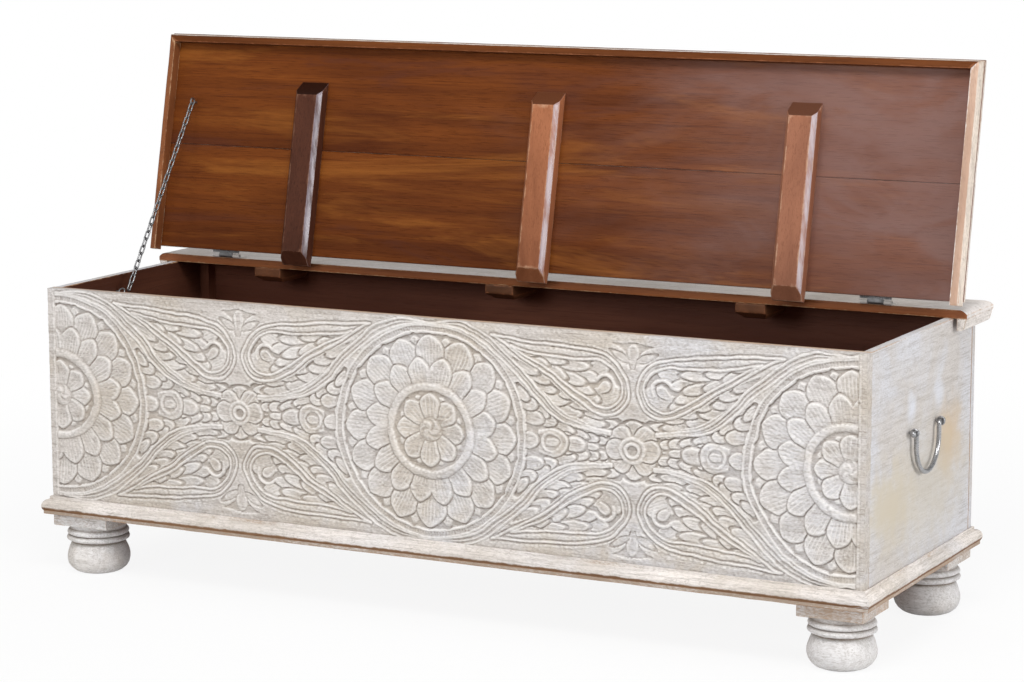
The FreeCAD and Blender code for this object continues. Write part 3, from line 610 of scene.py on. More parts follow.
class Relief:
    """Heights and chalky lines over one quarter of the repeat, mirrored to make the whole front."""

    # Spacing of the points, then the half widths of a flute and a vein, and how deep both are
    step = 0.75
    flute_half, vein_half, line_depth = 0.75, 0.8, 0.85

    def __init__(self, width, height, plain):
        self.u, self.v = np.meshgrid(np.arange(0, width + 2, self.step), np.arange(0, height + 2, self.step))
        self.h = np.full(self.u.shape, float(plain))
        self.chalk = np.zeros(self.u.shape)

    def reach(self, line, limit):
        """Distance to a line, exact only within limit."""
        near = np.ones(self.u.shape, bool)
        for values, axis in ((self.u, 0), (self.v, 1)):
            near &= (values > line[:, axis].min() - limit) & (values < line[:, axis].max() + limit)
        places = np.stack([self.u[near], self.v[near]], -1)
        best = np.full(len(places), FAR)
        for part in np.array_split(line, max(1, len(line) // 30)):
            best = np.minimum(best, np.linalg.norm(places[:, None] - part[None], axis=-1).min(1))
        distance = np.full(self.u.shape, FAR)
        distance[near] = best
        return distance

    def inside(self, corners):
        """Which points lie inside a closed outline."""
        found = np.zeros(self.u.shape, bool)
        for (x0, y0), (x1, y1) in zip(corners, np.roll(corners, -1, axis=0)):
            if y0 != y1:
                crosses = (self.v > min(y0, y1)) & (self.v <= max(y0, y1))
                found ^= crosses & (self.u < x0 + (self.v - y0) * (x1 - x0) / (y1 - y0))
        return found

    def sink(self, where, level, distance, wall):
        """Takes the surface down to a level, over a wall of the given width."""
        share = eased(distance / wall)
        self.h = np.where(where, self.h + (np.minimum(self.h, level) - self.h) * share, self.h)
        self.chalk = np.where(where, self.chalk * (1 - share), self.chalk)

    def pocket(self, corners, level, wall=2.0):
        """Sinks the inside of an outline."""
        corners = np.array(corners, float)
        outline = smooth_line(np.vstack([corners, corners[:1]]))
        self.sink(self.inside(corners), level, self.reach(outline, wall), wall)

    def disc(self, place, radius, level, wall=2.0):
        """Sinks a disc."""
        r = np.hypot(self.u - place[0], self.v - place[1])
        self.sink(r < radius, level, radius - r, wall)

    def rise(self, distance, half, top, foot, chalk):
        """Raises a rounded rib where the distance to its line is under half its width."""
        rib = foot + (top - foot) * np.sqrt(np.clip(1 - (distance / half) ** 2, 0, 1))
        raised = (distance < half) & (rib > self.h)
        self.h = np.where(raised, rib, self.h)
        self.chalk = np.where(raised, chalk * (1 - distance / half), self.chalk)

    def ridge(self, line, half, top, foot, chalk=0.9):
        """A rounded rib along a line."""
        self.rise(self.reach(line, half), half, top, foot, chalk)

    def ring(self, place, radius, half, top, foot, chalk=0.5, arc=(-180, 180)):
        """A rounded rib along a circle, or along an arc of it in degrees."""
        du, dv = self.u - place[0], self.v - place[1]
        turn = np.degrees(np.arctan2(dv, du))
        drawn = (turn >= arc[0]) & (turn <= arc[1])
        self.rise(np.where(drawn, np.abs(np.hypot(du, dv) - radius), FAR), half, top, foot, chalk)

    def groove(self, line, half, depth):
        """A V cut along a line."""
        d = self.reach(line, half)
        self.h = np.where(d < half, self.h - depth * (1 - np.clip(d / half, 0, 1)), self.h)

    def knob(self, place, radius, top, foot):
        """A dome in a narrow moat."""
        r = np.hypot(self.u - place[0], self.v - place[1])
        self.h = np.where(r < radius + 1.2, foot, self.h)
        dome = foot + (top - foot) * np.sqrt(np.clip(1 - (r / radius) ** 2, 0, 1))
        self.h = np.where(r < radius, dome, self.h)
        self.chalk = np.where(r < radius + 1.2, 0, self.chalk)

    def lobe(self, place, heading, length, half, top, foot, waist=0.7, cup=0.9, flutes=0, tilt=1.2,
             shoulder=0.5, rim=2.2, cut=1.3, point=1.0, vein=0.0, sharp=2.0):
        """A petal, leaf or scale: base at place, rounded tip along heading, flutes fanning out on it."""
        c, s = math.cos(math.radians(heading)), math.sin(math.radians(heading))
        du, dv = self.u - place[0], self.v - place[1]
        along = (du * c + dv * s) / length
        across = dv * c - du * s
        front = np.clip((along - shoulder) / (1 - shoulder), 0, None)
        width = half * (waist + (1 - waist) * np.clip(along / shoulder, 0, 1) ** 0.8)
        bow = 2 - (2 - sharp) * np.clip(front * 1.6, 0, 1)
        tip = (1 - np.sqrt(front ** (2 * point) + np.abs(across / half) ** bow)) * half
        inside = np.where(along > shoulder, tip, width - np.abs(across))
        alive = (along > 0) & (inside > -cut)
        body = foot + (top - foot) * eased((inside + 0.2) / rim)
        body -= cup * eased((inside - rim * 0.7) / (half * 0.55)) + tilt * (1 - np.clip(along, 0, 1)) ** 1.3
        lines = np.zeros(self.u.shape)
        if flutes:
            lane = (across / np.maximum(width, 1e-6) + 1) * flutes / 2
            gap = np.abs(lane - np.floor(lane) - 0.5) * 2 * width / flutes
            lines = np.exp(-((gap / self.flute_half) ** 2))
            lines = lines * eased((inside - 0.8) / 2.5) * eased(along * 4 - 0.4)
        if vein:
            lines = np.maximum(lines, vein * np.exp(-((across / self.vein_half) ** 2)) * eased(inside / 2.5))
        body -= self.line_depth * lines
        edge = 0.35 * np.exp(-(((inside - 1.6) / 1.0) ** 2))
        carved = np.where(inside > 0, np.maximum(body, foot), np.minimum(self.h, foot))
        self.h = np.where(alive, carved, self.h)
        self.chalk = np.where(alive, np.where(inside > 0, np.maximum(lines, edge), 0), self.chalk)


# Levels below the board's face: the cut ground, the plain stretches and the channels that the ribs stand in
GROUND = -5.2
PLAIN = -0.6
CHANNEL = -3.0

# A quarter of the repeat, its medallion in one corner and its rosette in the next
UNIT_WIDTH, UNIT_HEIGHT = 363, 190
ROSETTE = (UNIT_WIDTH, 0)

# Radii of the medallion, its hub and its ring of beads, then the beads' pairs and height
MEDALLION, HUB, BEAD_RING = 161, 19, 168.5
BEAD_PAIRS, BEAD_HEIGHT = 106, 1.1

SWEEP = [(0, 177), (30, 174), (62, 167), (95, 152), (126, 129), (150, 110), (167, 94.5), (183, 77), (200, 63),
         (218, 49.5), (242, 37), (267, 31), (296, 27), (326, 25)]
SWEEP_WIDTHS = [0, 13, 15, 13.5, 12.5, 11, 6, 3.5]
DROP_OUTER = [(112, 166), (150, 163.5), (200, 161.5), (250, 158), (290, 153), (322, 143), (343, 124),
              (354, 102), (355, 86), (347, 68), (334, 57), (318, 54), (298, 56.5), (276, 68), (250, 84),
              (226, 102), (200, 116), (176, 130), (150, 146), (124, 161), (112, 166)]
DROP_INNER = [(148, 151.5), (176, 146), (205, 143), (240, 141), (275, 139), (303, 138), (325, 128),
              (339, 112), (344, 97), (340, 80), (329, 68.5), (315, 64), (300, 66), (280, 77), (255, 92),
              (229, 109), (203, 124), (176, 137), (148, 151.5)]
BAND_POCKET = [(148, 136), (158, 122), (178, 100), (203, 81), (221, 68), (252, 49), (290, 36), (322, 31),
               (340, 36), (344, 46), (336, 50.5), (318, 49), (297, 51.5), (272, 62.5), (247, 78), (223, 96),
               (198, 111), (174, 124)]
CLUSTER_POCKET = [(177, 0), (176, 22), (171, 45), (163, 66), (152, 90), (160, 94), (176, 78), (194, 60),
                  (214, 45), (240, 33), (266, 27), (296, 23), (318, 21), (318, 0)]
TOP_POCKET = [(363, 126), (359, 138), (350, 152), (338, 162), (326, 168), (345, 170), (363, 172)]

# Leaves: base across and up from the medallion's middle, heading in degrees, length, half width, flutes
DROP_LEAVES = [(296, 78, 20, 50, 20, 8), (284, 118, 22, 42, 15, 5), (272, 86, -24, 36, 9, 3),
               (256, 100, -22, 42, 9.5, 3), (262, 116, -12, 42, 10.5, 3), (236, 113, -16, 48, 10, 3),
               (236, 131, -4, 52, 10, 3), (206, 125, -24, 46, 10, 3), (200, 138, -6, 46, 8.5, 3),
               (176, 139, -20, 42, 8, 2), (158, 147, -10, 36, 6, 2)]
BAND_LEAVES = [(300, 40, -2, 40, 8, 3), (268, 43, -6, 52, 8.5, 3), (276, 57, -10, 40, 8, 3),
               (232, 54, -4, 44, 11, 2), (246, 75, -20, 42, 10, 3), (206, 73, -2, 48, 12, 5),
               (222, 93, -26, 40, 10, 3), (192, 89, -8, 40, 9, 3), (178, 106, -14, 44, 9.5, 3),
               (152, 129, -26, 50, 11, 4)]
CLUSTER_SCALES = [(302, 13, -3, 20, 8, 3), (282, 15, -4, 24, 9, 3), (252, 21, -12, 36, 9, 3),
                  (226, 31, -16, 38, 9, 3), (236, 12, -6, 22, 9, 0), (202, 37, -8, 28, 12, 4),
                  (196, 56, -38, 26, 9, 3), (176, 38, -8, 32, 13, 0), (166, 62, -14, 30, 12, 4),
                  (156, 82, -40, 30, 9, 3)]


def petals(sheet, headings, distance, **shape):
    """Petals round the medallion's middle, their bases at a distance from it."""
    for heading in headings:
        turn = math.radians(heading)
        sheet.lobe((distance * math.cos(turn), distance * math.sin(turn)), heading, **shape)


def carve_scrolls(sheet):
    """The leaves of drop, band and cluster, the rosette between the scrolls and the ribs that hold them."""
    sweep = smooth_line(SWEEP)
    widths = np.interp(np.linspace(0, 1, len(sweep)), np.linspace(0, 1, len(SWEEP_WIDTHS)), SWEEP_WIDTHS)
    way = np.gradient(sweep, axis=0)
    way /= np.linalg.norm(way, axis=1)[:, None]
    left = np.stack([-way[:, 1], way[:, 0]], -1)
    second, third = sweep + left * widths[:, None] / 2, sweep + left * widths[:, None]
    outer, inner = smooth_line(DROP_OUTER), smooth_line(DROP_INNER)
    for corners in (BAND_POCKET, CLUSTER_POCKET):
        sheet.pocket(corners, GROUND)
    sheet.pocket(TOP_POCKET, CHANNEL)
    sheet.pocket(DROP_INNER, GROUND + 0.4)
    sheet.disc((0, 0), MEDALLION, GROUND)
    sheet.disc(ROSETTE, 49, GROUND)

    # Leaves in the drop and the band, each cut only where the wood is already low, then the cluster's scales
    for u, v, heading, reach, half, flutes in DROP_LEAVES + BAND_LEAVES:
        heights, chalk = sheet.h.copy(), sheet.chalk.copy()
        sheet.lobe((u, v), heading, reach, half, top=-0.7, foot=GROUND, waist=0.75, flutes=flutes + 1,
                   tilt=2.0, shoulder=0.45, point=0.85, vein=0.8)
        free = heights < PLAIN - 0.5
        sheet.h, sheet.chalk = np.where(free, sheet.h, heights), np.where(free, sheet.chalk, chalk)
    sheet.ring((313, 99), 17, half=3.2, top=-0.4, foot=-3.8, chalk=0.7, arc=(-35, 150))
    sheet.lobe((302, 90), 35, 25, 9.5, top=-0.6, foot=-4.2, waist=0.6, cup=0.8, flutes=2)
    for u, v, heading, reach, half, flutes in CLUSTER_SCALES:
        sheet.lobe((u, v), heading, reach, half, top=-0.6, foot=GROUND, waist=0.8, cup=0.7, flutes=flutes + 1,
                   tilt=2.0, shoulder=0.35)

    # Buds along the cluster's middle
    sheet.lobe((246, 0), 0, 38, 14.5, top=-0.6, foot=GROUND, waist=0.9, cup=-0.3, tilt=0.6, shoulder=0.35,
               rim=4)
    sheet.lobe((284, 0), 0, 22, 7, top=-0.8, foot=GROUND, waist=0.9, cup=0.4, flutes=3, tilt=1.0,
               shoulder=0.35)
    sheet.lobe((198, 0), 0, 52, 25, top=-0.6, foot=-4.6, waist=0.75, cup=1.8, tilt=1.4, rim=3)
    sheet.ring((221, 0), 15.5, half=2.8, top=-1.0, foot=-3.0, chalk=0.6)
    sheet.lobe((212, 0), 0, 22, 8, top=-0.8, foot=-3.4, cup=0.6, flutes=1, tilt=0.8)
    sheet.lobe((176, 0), 0, 24, 14, top=-0.6, foot=GROUND, waist=0.95, flutes=4, tilt=1.4, shoulder=0.2)

    # Rosette between two groups of scrolls
    for heading in (90, 135, 180):
        sheet.lobe(ROSETTE, heading, 46, 18.5, top=-1.3, foot=GROUND, waist=0.5, cup=1.2, flutes=5, tilt=1.4,
                   shoulder=0.62)
    sheet.disc(ROSETTE, 22, -4.8)
    sheet.ring(ROSETTE, 18.5, half=4.2, top=-0.7, foot=-4.6)
    sheet.ring(ROSETTE, 11, half=3.4, top=-0.2, foot=-4.4, chalk=0.9)

    # Small leaves above the rosette, where four drops meet
    sheet.lobe((363, 126), 90, 44, 11, top=-0.7, foot=CHANNEL, waist=0.25, cup=0.7, flutes=2, tilt=1.0,
               shoulder=0.6)
    sheet.lobe((356, 138), 152, 34, 6.5, top=-0.8, foot=CHANNEL, waist=0.4, cup=0.5, flutes=2, tilt=1.0,
               shoulder=0.4, point=0.8)

    # Swept bands and the double ribs of the drop stand in shallow channels
    everywhere = np.ones(sheet.u.shape, bool)
    for line, level, half in ((sweep, -3.2, 4.2), (second, CHANNEL, 6.0), (third, -3.2, 4.2),
                              (outer, CHANNEL, 6.2), (inner, CHANNEL, 6.2)):
        sheet.sink(everywhere, level, half - sheet.reach(line, 8), 3)
    for line, half, top in ((outer, 2.6, -0.1), (inner, 2.2, -0.4), (sweep, 2.5, -0.1), (second, 1.6, -1.2),
                            (third, 2.5, -0.2)):
        sheet.ridge(line, half, top, CHANNEL)
    sheet.groove(smooth_line([(u, v + 10) for u, v in DROP_OUTER[2:6]]), 1.1, 1.0)


def carve_medallion(sheet):
    """The medallion from its rim inwards: beads between two ribs, two rings of petals, an inner flower."""
    r = np.hypot(sheet.u, sheet.v)
    turn = np.arctan2(sheet.v, sheet.u)
    sheet.sink(np.abs(r - BEAD_RING) < 8, -3.4, 8 - np.abs(r - BEAD_RING), 2.5)
    beads = (r > 164.5) & (r < 173)
    sheet.h = np.where(beads, sheet.h + BEAD_HEIGHT * np.abs(np.cos(turn * BEAD_PAIRS)), sheet.h)
    sheet.ring((0, 0), 163, half=2.2, top=-0.5, foot=-3.6, chalk=0.9)
    sheet.ring((0, 0), 174, half=2.2, top=-0.3, foot=-3.2, chalk=0.9)
    on_axes, between = np.arange(0, 91, 22.5), np.arange(11.25, 90, 22.5)
    petals(sheet, between, 127, length=32, half=14, top=-2.4, foot=GROUND, waist=0.9, cup=0.4, flutes=3,
           tilt=0.6, shoulder=0.2, point=0.7)
    petals(sheet, on_axes, 84, length=75, half=27, top=-0.9, foot=GROUND, waist=0.62, cup=1.3, flutes=9,
           tilt=3.4, shoulder=0.62, cut=1.5, point=0.9, sharp=1.5)
    petals(sheet, between, 62, length=61, half=21, top=-0.3, foot=-4.8, waist=0.66, cup=1.1, flutes=7,
           tilt=3.0, shoulder=0.58, cut=1.5, point=0.9, sharp=1.5)
    sheet.disc((0, 0), 81, -4.2)
    sheet.ring((0, 0), 72, half=7.4, top=-0.1, foot=-4.2, chalk=0.35)
    sheet.disc((0, 0), 64, -5.0, 1.8)
    petals(sheet, (22.5, 67.5), 30, length=30, half=12, top=-2.4, foot=-5.0, waist=0.8, cup=0.6, flutes=3,
           tilt=0.6, shoulder=0.4, point=0.8)
    petals(sheet, (0, 45, 90), 14, length=47, half=18.5, top=-0.7, foot=-5.0, waist=0.45, cup=1.3, flutes=5,
           tilt=2.6, shoulder=0.58, cut=1.5, sharp=1.5)
    sheet.knob((0, 0), HUB, -0.1, -4.6)


def softened(field, spread):
    """The field blurred by a spread counted in grid steps."""
    rows, columns = field.shape
    pad = int(4 * spread) + 1
    wide = np.pad(field, pad, mode="edge")
    fy = np.fft.fftfreq(wide.shape[0])[:, None]
    fx = np.fft.rfftfreq(wide.shape[1])[None]
    kernel = np.exp(-2 * (math.pi * spread) ** 2 * (fx**2 + fy**2))
    return np.fft.irfft2(np.fft.rfft2(wide) * kernel, wide.shape)[pad:pad + rows, pad:pad + columns]


def carved_heights(xs, zs):
    """The whole front in millimetres, with the carver's drift, on rows of zs and columns of xs."""
    sizes = bpy.context.scene.chest_carving
    unit = Relief(UNIT_WIDTH, UNIT_HEIGHT, PLAIN)
    carve_scrolls(unit)
    carve_medallion(unit)
    x, z = np.meshgrid(xs / MM, zs / MM)
    places = np.stack([x, np.zeros_like(x), z], -1)
    drift, shake = sizes.drift / MM, 0.55
    drawn_x = x + drift * ripple(11, 130)(places) + shake * ripple(12, 34)(places)
    drawn_z = z + drift * ripple(13, 130)(places) + shake * ripple(14, 34)(places)
    repeat = sizes.repeat / MM
    across = (drawn_x + repeat / 2) % repeat - repeat / 2
    above = drawn_z - sizes.middle_height / MM

    # Reads the quarter between its grid points
    column = np.clip(np.abs(across) / unit.step, 0, unit.h.shape[1] - 1.001)
    row = np.clip(np.abs(above) / unit.step, 0, unit.h.shape[0] - 1.001)
    c0, r0 = column.astype(int), row.astype(int)
    fc, fr = column - c0, row - r0
    h, chalk = (((field[r0, c0] * (1 - fc) + field[r0, c0 + 1] * fc) * (1 - fr)
                 + (field[r0 + 1, c0] * (1 - fc) + field[r0 + 1, c0 + 1] * fc) * fr)
                for field in (unit.h, unit.chalk))

    # A swirl of three cuts on each hub
    r = np.hypot(across, above)
    arms, twist, cut = 3, 0.3, 1.5
    swirl = np.clip(np.cos(arms * np.arctan2(above, across) - r * twist), 0, 1)
    h = h - cut * swirl * eased((HUB - 0.5 - r) / 3) * eased(r / 4)

    # The plain border at each end, with a scribed line
    edge = np.abs(x) - (front_high.x / MM - sizes.border / MM)
    h = np.where(edge > 0, PLAIN * eased(edge / 2) + GROUND * 0.6 * (1 - eased(edge / 2)), h)
    h = np.where(np.abs(edge - 6.5) < 1.0, h - 0.6, h)

    # Chips, tool marks and the grain's own roughness
    chips = np.clip(ripple(17, 14, 12)(places) - 1.15, 0, 1)
    h = h + 0.22 * ripple(15, 60)(places) + 0.2 * ripple(16, 9, 14)(places) - 1.2 * chips
    h = h + 0.18 * ripple(19, 4.6, 16)(places)
    deepest = sizes.depth / MM
    chalk = chalk * np.clip(0.75 + 0.45 * ripple(18, 40)(places), 0, 1)
    return np.clip(h * (deepest / abs(GROUND)), -deepest - 1.2, 0), np.where(edge > 0, 0, chalk)


# How far down from an edge the carved board is worn
WORN_RIM = 0.004


def carved_piece(name, first, last, xs, zs, heights, groove, crest, material):
    """One length of the carved board, a closed slab whose front follows the heights."""
    count_x, count_z = last - first, len(zs) - 1
    bm = bmesh.new()
    bmesh.ops.create_grid(bm, x_segments=count_x, y_segments=count_z, size=0.5,
                          matrix=Matrix.Rotation(math.radians(90), 4, "X"))
    back = bm.verts.layers.int.new("back")
    rim = [e for e in bm.edges if e.is_boundary]
    for v in bmesh.ops.extrude_edge_only(bm, edges=rim)["geom"]:
        if isinstance(v, bmesh.types.BMVert):
            v[back] = 1
    bmesh.ops.holes_fill(bm, edges=[e for e in bm.edges if e.is_boundary], sides=0)
    bmesh.ops.recalc_face_normals(bm, faces=bm.faces)
    mesh = mesh_of(name, bm)
    flags = np.zeros(len(mesh.vertices), np.int32)
    mesh.attributes["back"].data.foreach_get("value", flags)
    mesh.attributes.remove(mesh.attributes["back"])
    behind = flags == 1

    # The unit grid is laid on the board's own columns and rows
    co = points_of(mesh)
    column = np.rint((co[:, 0] + 0.5) * count_x).astype(int) + first
    row = np.rint((co[:, 2] + 0.5) * count_z).astype(int)
    co[:, 0], co[:, 2] = xs[column], zs[row]
    co[:, 1] = np.where(behind, front_high.y, front_low.y - heights[row, column] * MM)
    mesh.vertices.foreach_set("co", co.astype(np.float32).ravel())
    mesh.update()
    # groove holds dirt and painted shade in the cuts, crest holds chalk and painted highlights on the crests
    store(mesh, "groove", np.where(behind, 0, groove[row, column]))
    store(mesh, "crest", np.where(behind, 0, crest[row, column]))
    top = np.clip(1 - (front_high.z - co[:, 2]) / WORN_RIM, 0, 1) * np.where(behind, 1.25, 0.5)
    ends = np.clip(1 - (front_high.x - np.abs(co[:, 0])) / WORN_RIM, 0, 1)
    store(mesh, "wear", np.maximum(top, 0.5 * ends))
    shade_smooth(mesh, 62)
    return place_mesh(name, mesh, "chest", material, "front_panel")


# Softened copies of the frame's boards

# Distance between two marks along an edge
MARK_GAP = 0.004


def cut_through(bm, axis, places):
    """Adds a loop of edges at each place along an axis."""
    normal = Vector((0, 0, 0))
    normal[axis] = 1
    for place in places:
        bmesh.ops.bisect_plane(bm, geom=bm.verts[:] + bm.edges[:] + bm.faces[:], dist=1e-7,
                               plane_co=normal * place, plane_no=normal)


def loops_between(low, high, pitch, edge=0.004):
    """Places of the loops: close to both edges, and evenly between."""
    count = max(1, int((high - low - 2 * edge) / pitch))
    return list(np.linspace(low + edge, high - edge, count + 1))


def long_edges(bm, least, bend):
    """The edges over a least length whose faces meet at more than a given angle."""
    return [e for e in bm.edges if e.is_manifold and e.calc_length() > least and e.calc_face_angle(0) > bend]


def wear_near(places, marks, round_edge, fade):
    """1 beside the marks on the edges, fading out away from them."""
    tree = kdtree.KDTree(len(marks))
    for index, mark in enumerate(marks):
        tree.insert(mark, index)
    tree.balance()
    return [math.exp(-max(0.0, tree.find(place)[2] - round_edge) / fade) for place in places]


def soft_board(node, body, material, round_edge, pitch, wobble=0.00025, tilted=False, seed=1, worn=1.0):
    """A copy of a board with eased edges, a little hand-planed waver, and a mark of how near each point is to
    an edge. A tilted board is brought square to the axes while its loops are cut."""
    bm = bmesh.new()
    bm.from_mesh(frame["nodes"][node].data)
    bmesh.ops.remove_doubles(bm, verts=bm.verts, dist=2e-6)
    bmesh.ops.dissolve_limit(bm, angle_limit=math.radians(0.6), verts=bm.verts, edges=bm.edges)
    sharp = long_edges(bm, 0.008, math.radians(30))
    marks = []
    for e in sharp:
        a, b = (v.co.copy() for v in e.verts)
        count = max(2, int((b - a).length / MARK_GAP))
        marks += [a.lerp(b, k / count) for k in range(count + 1)]
    bmesh.ops.bevel(bm, geom=sharp, offset=round_edge, offset_type="OFFSET", segments=2, profile=0.5,
                    affect="EDGES", clamp_overlap=True, material=-1)
    if tilted:
        bmesh.ops.rotate(bm, verts=bm.verts, cent=PIN, matrix=LID_TURN)
    co = np.array([v.co for v in bm.verts])
    for axis in range(3):
        cut_through(bm, axis, loops_between(co[:, axis].min(), co[:, axis].max(), pitch[axis]))
    if tilted:
        bmesh.ops.rotate(bm, verts=bm.verts, cent=PIN, matrix=LID_TURN.inverted())
    bm.normal_update()
    waver = ripple(seed, 0.12)
    places = np.array([v.co for v in bm.verts])
    for v, dip in zip(bm.verts, np.abs(waver(places)) * wobble):
        v.co -= v.normal * dip
    wear = wear_near([v.co.copy() for v in bm.verts], marks, 0.0012, 0.0035)
    name = node + "_board"
    mesh = mesh_of(name, bm)
    store(mesh, "wear", worn * np.array(wear))
    shade_smooth(mesh, 35)
    return place_mesh(name, mesh, body, material, node)


# Operators


class PieceOperator:
    """What every operator of the chest shares."""
    bl_options = {"REGISTER", "UNDO"}


def wood_of(c, *names):
    """A wood's colours by their names: light streaks, dark streaks and rubbed edges."""
    return tuple(getattr(c, name)[:] for name in names)


class CHEST_OT_carved_front(PieceOperator, bpy.types.Operator):
    """Carves the front board: medallions, swept bands, drops, rosettes and leaves"""
    bl_idname = "chest.carved_front"
    bl_label = "Carved front"

    def execute(self, context):
        sizes, c = context.scene.chest_carving, context.scene.chest_finish
        half = sizes.repeat / 2
        joints = [front_low.x, -half, 0.0, half, front_high.x]
        parts = [np.linspace(a, b, int(round((b - a) / sizes.grid)) + 1) for a, b in zip(joints, joints[1:])]
        xs = np.concatenate([parts[0]] + [part[1:] for part in parts[1:]])
        zs = np.linspace(front_low.z, front_high.z, int(round((front_high.z - front_low.z) / sizes.grid)) + 1)
        heights, chalk = carved_heights(xs, zs)

        # Cuts are darkened, as dirt and as painted shade, and more where they face down, which is painted
        # shade; crests take chalk, and more where they face up, which is a painted highlight
        climb = np.gradient(softened(heights, 0.7), axis=0)
        painted_shade_facing_down, painted_highlight_facing_up = np.clip(climb / 0.5, 0, 1), np.clip(-climb / 0.5, 0, 1)
        groove = np.clip((softened(heights, 1.5) - heights - 0.22) / 1.0, 0, 1) * (1 - chalk)
        groove = groove * (0.42 + 0.58 * painted_shade_facing_down)
        groove = np.maximum(groove, 0.25 * np.clip((softened(heights, 5.0) - heights) / 1.8, 0, 1))
        crest = np.clip((heights - softened(heights, 2.4) - 0.10) / 0.7, 0, 1) * (0.5 + 0.4 * painted_highlight_facing_up)
        crest = np.maximum(crest, chalk)
        wood = (c.inner_light[:], c.inner_dark[:], c.bare[:])
        material = two_sided("Carved whitewash", BACK, wood, c.paint[:], cover=0.84, shift=(0.3, 0, 0),
                             streak=0.36, patchy=0.8, depth=0.0004)
        first = 0
        for index, part in enumerate(parts):
            last = first + len(part) - 1
            name = "carved_front_%d" % (index + 1)
            carved_piece(name, first, last, xs, zs, heights, groove, crest, material)
            first = last
        return {"FINISHED"}


class CHEST_OT_outer_boards(PieceOperator, bpy.types.Operator):
    """Whitewashes the two ends and the rear, brown on the inside"""
    bl_idname = "chest.outer_boards"
    bl_label = "End and rear boards"

    # Spots on the right end: colour, middle along Y and Z, reach along X, Y and Z, strength
    spots = (("end_tan", (0.122, 0.308), (0.05, 0.072, 0.066), 0.9),
             ("end_beige", (-0.15, 0.245), (0.05, 0.12, 0.07), 0.9),
             ("end_beige", (0.02, 0.25), (0.05, 0.22, 0.12), 0.6),
             ("end_blue", (-0.05, 0.385), (0.04, 0.026, 0.03), 0.5),
             ("end_blue", (0.075, 0.388), (0.04, 0.026, 0.03), 0.45))
    # Boards: node, side with bare wood, grain, seed, share of the light and of the dark inside colour
    boards = (("right_side", LEFT, "y", 21, 0.6, 0.6), ("left_side", RIGHT, "y", 22, 0.6, 0.6),
              ("rear_panel", FRONT, "x", 23, 1.3, 1.2))

    def execute(self, context):
        c = context.scene.chest_finish
        marks = [((front_high.x, *middle), reach, getattr(c, tone)[:], strength)
                 for tone, middle, reach, strength in self.spots]
        for node, under, grain, seed, light, dark in self.boards:
            wood = (toned(c.inner_light, light), toned(c.inner_dark, dark), c.bare[:])
            material = two_sided("Whitewashed " + node, under, wood, c.cool[:], grain=grain,
                                 shift=(seed * 0.37, 0, 0.1), streak=0.24,
                                 spots=marks if node == "right_side" else ())
            soft_board(node, "chest", material, 0.0015, (0.05, 0.03, 0.03), seed=seed)
        return {"FINISHED"}


class CHEST_OT_inside(PieceOperator, bpy.types.Operator):
    """Darkens the bottom board and the corner posts"""
    bl_idname = "chest.inside"
    bl_label = "Inside"

    def execute(self, context):
        c = context.scene.chest_finish
        wood = (c.inner_light[:], c.inner_dark[:], c.rail_dark[:])
        dress("bottom_board", varnished("Inner dark wood", wood, "x"))
        post = varnished("Inner post wood", wood, "z")
        for corner in CORNERS:
            dress(corner + "_post", post)
        return {"FINISHED"}


def wear_and_darken_foot(mesh, low):
    """Wears the lowest few millimetres of a moulding to wood and darkens them."""
    worn_height, darkened_height, fade = 0.0065, 0.0085, 0.002
    rise = points_of(mesh)[:, 2] - low
    wear = np.zeros(len(rise), np.float32)
    mesh.attributes["wear"].data.foreach_get("value", wear)
    wear[rise < worn_height] = 1
    mesh.attributes["wear"].data.foreach_set("value", wear)
    store(mesh, "groove", 0.4 * eased((darkened_height - rise) / fade))


class CHEST_OT_mouldings(PieceOperator, bpy.types.Operator):
    """Whitewashes the base mouldings and the plinth blocks, worn to wood along their edges"""
    bl_idname = "chest.mouldings"
    bl_label = "Mouldings and blocks"

    # Mouldings: node, grain, spacing of the loops, seed
    mouldings = (("front_moulding", "x", (0.012, 0.006, 0.006), 31),
                 ("rear_moulding", "x", (0.012, 0.006, 0.006), 32),
                 ("left_moulding", "y", (0.006, 0.012, 0.006), 33),
                 ("right_moulding", "y", (0.006, 0.012, 0.006), 34))

    def execute(self, context):
        c = context.scene.chest_finish
        wood = (c.moulding_light[:], c.moulding_dark[:], c.bare[:])
        for node, grain, pitch, seed in self.mouldings:
            material = two_sided("Whitewashed " + node, DOWN, wood, toned(c.paint, 1.3), edge=0.25,
                                 grain=grain, shift=(seed, 0, 0), gloss=0.6, streak=0.28)
            piece = soft_board(node, "chest", material, 0.0009, pitch, 0.0004, seed=seed,
                               worn=0.72)
            wear_and_darken_foot(piece.data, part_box(node)[0].z)
        for index, corner in enumerate(CORNERS):
            material = painted("Whitewashed %s block" % corner, c.bright[:], cover=0.50, streak=0.34,
                               shift=(index * 0.7, 0.2, 0))
            soft_board(corner + "_block", "chest", material, 0.0012, (0.012,) * 3,
                       seed=41 + index)
        return {"FINISHED"}


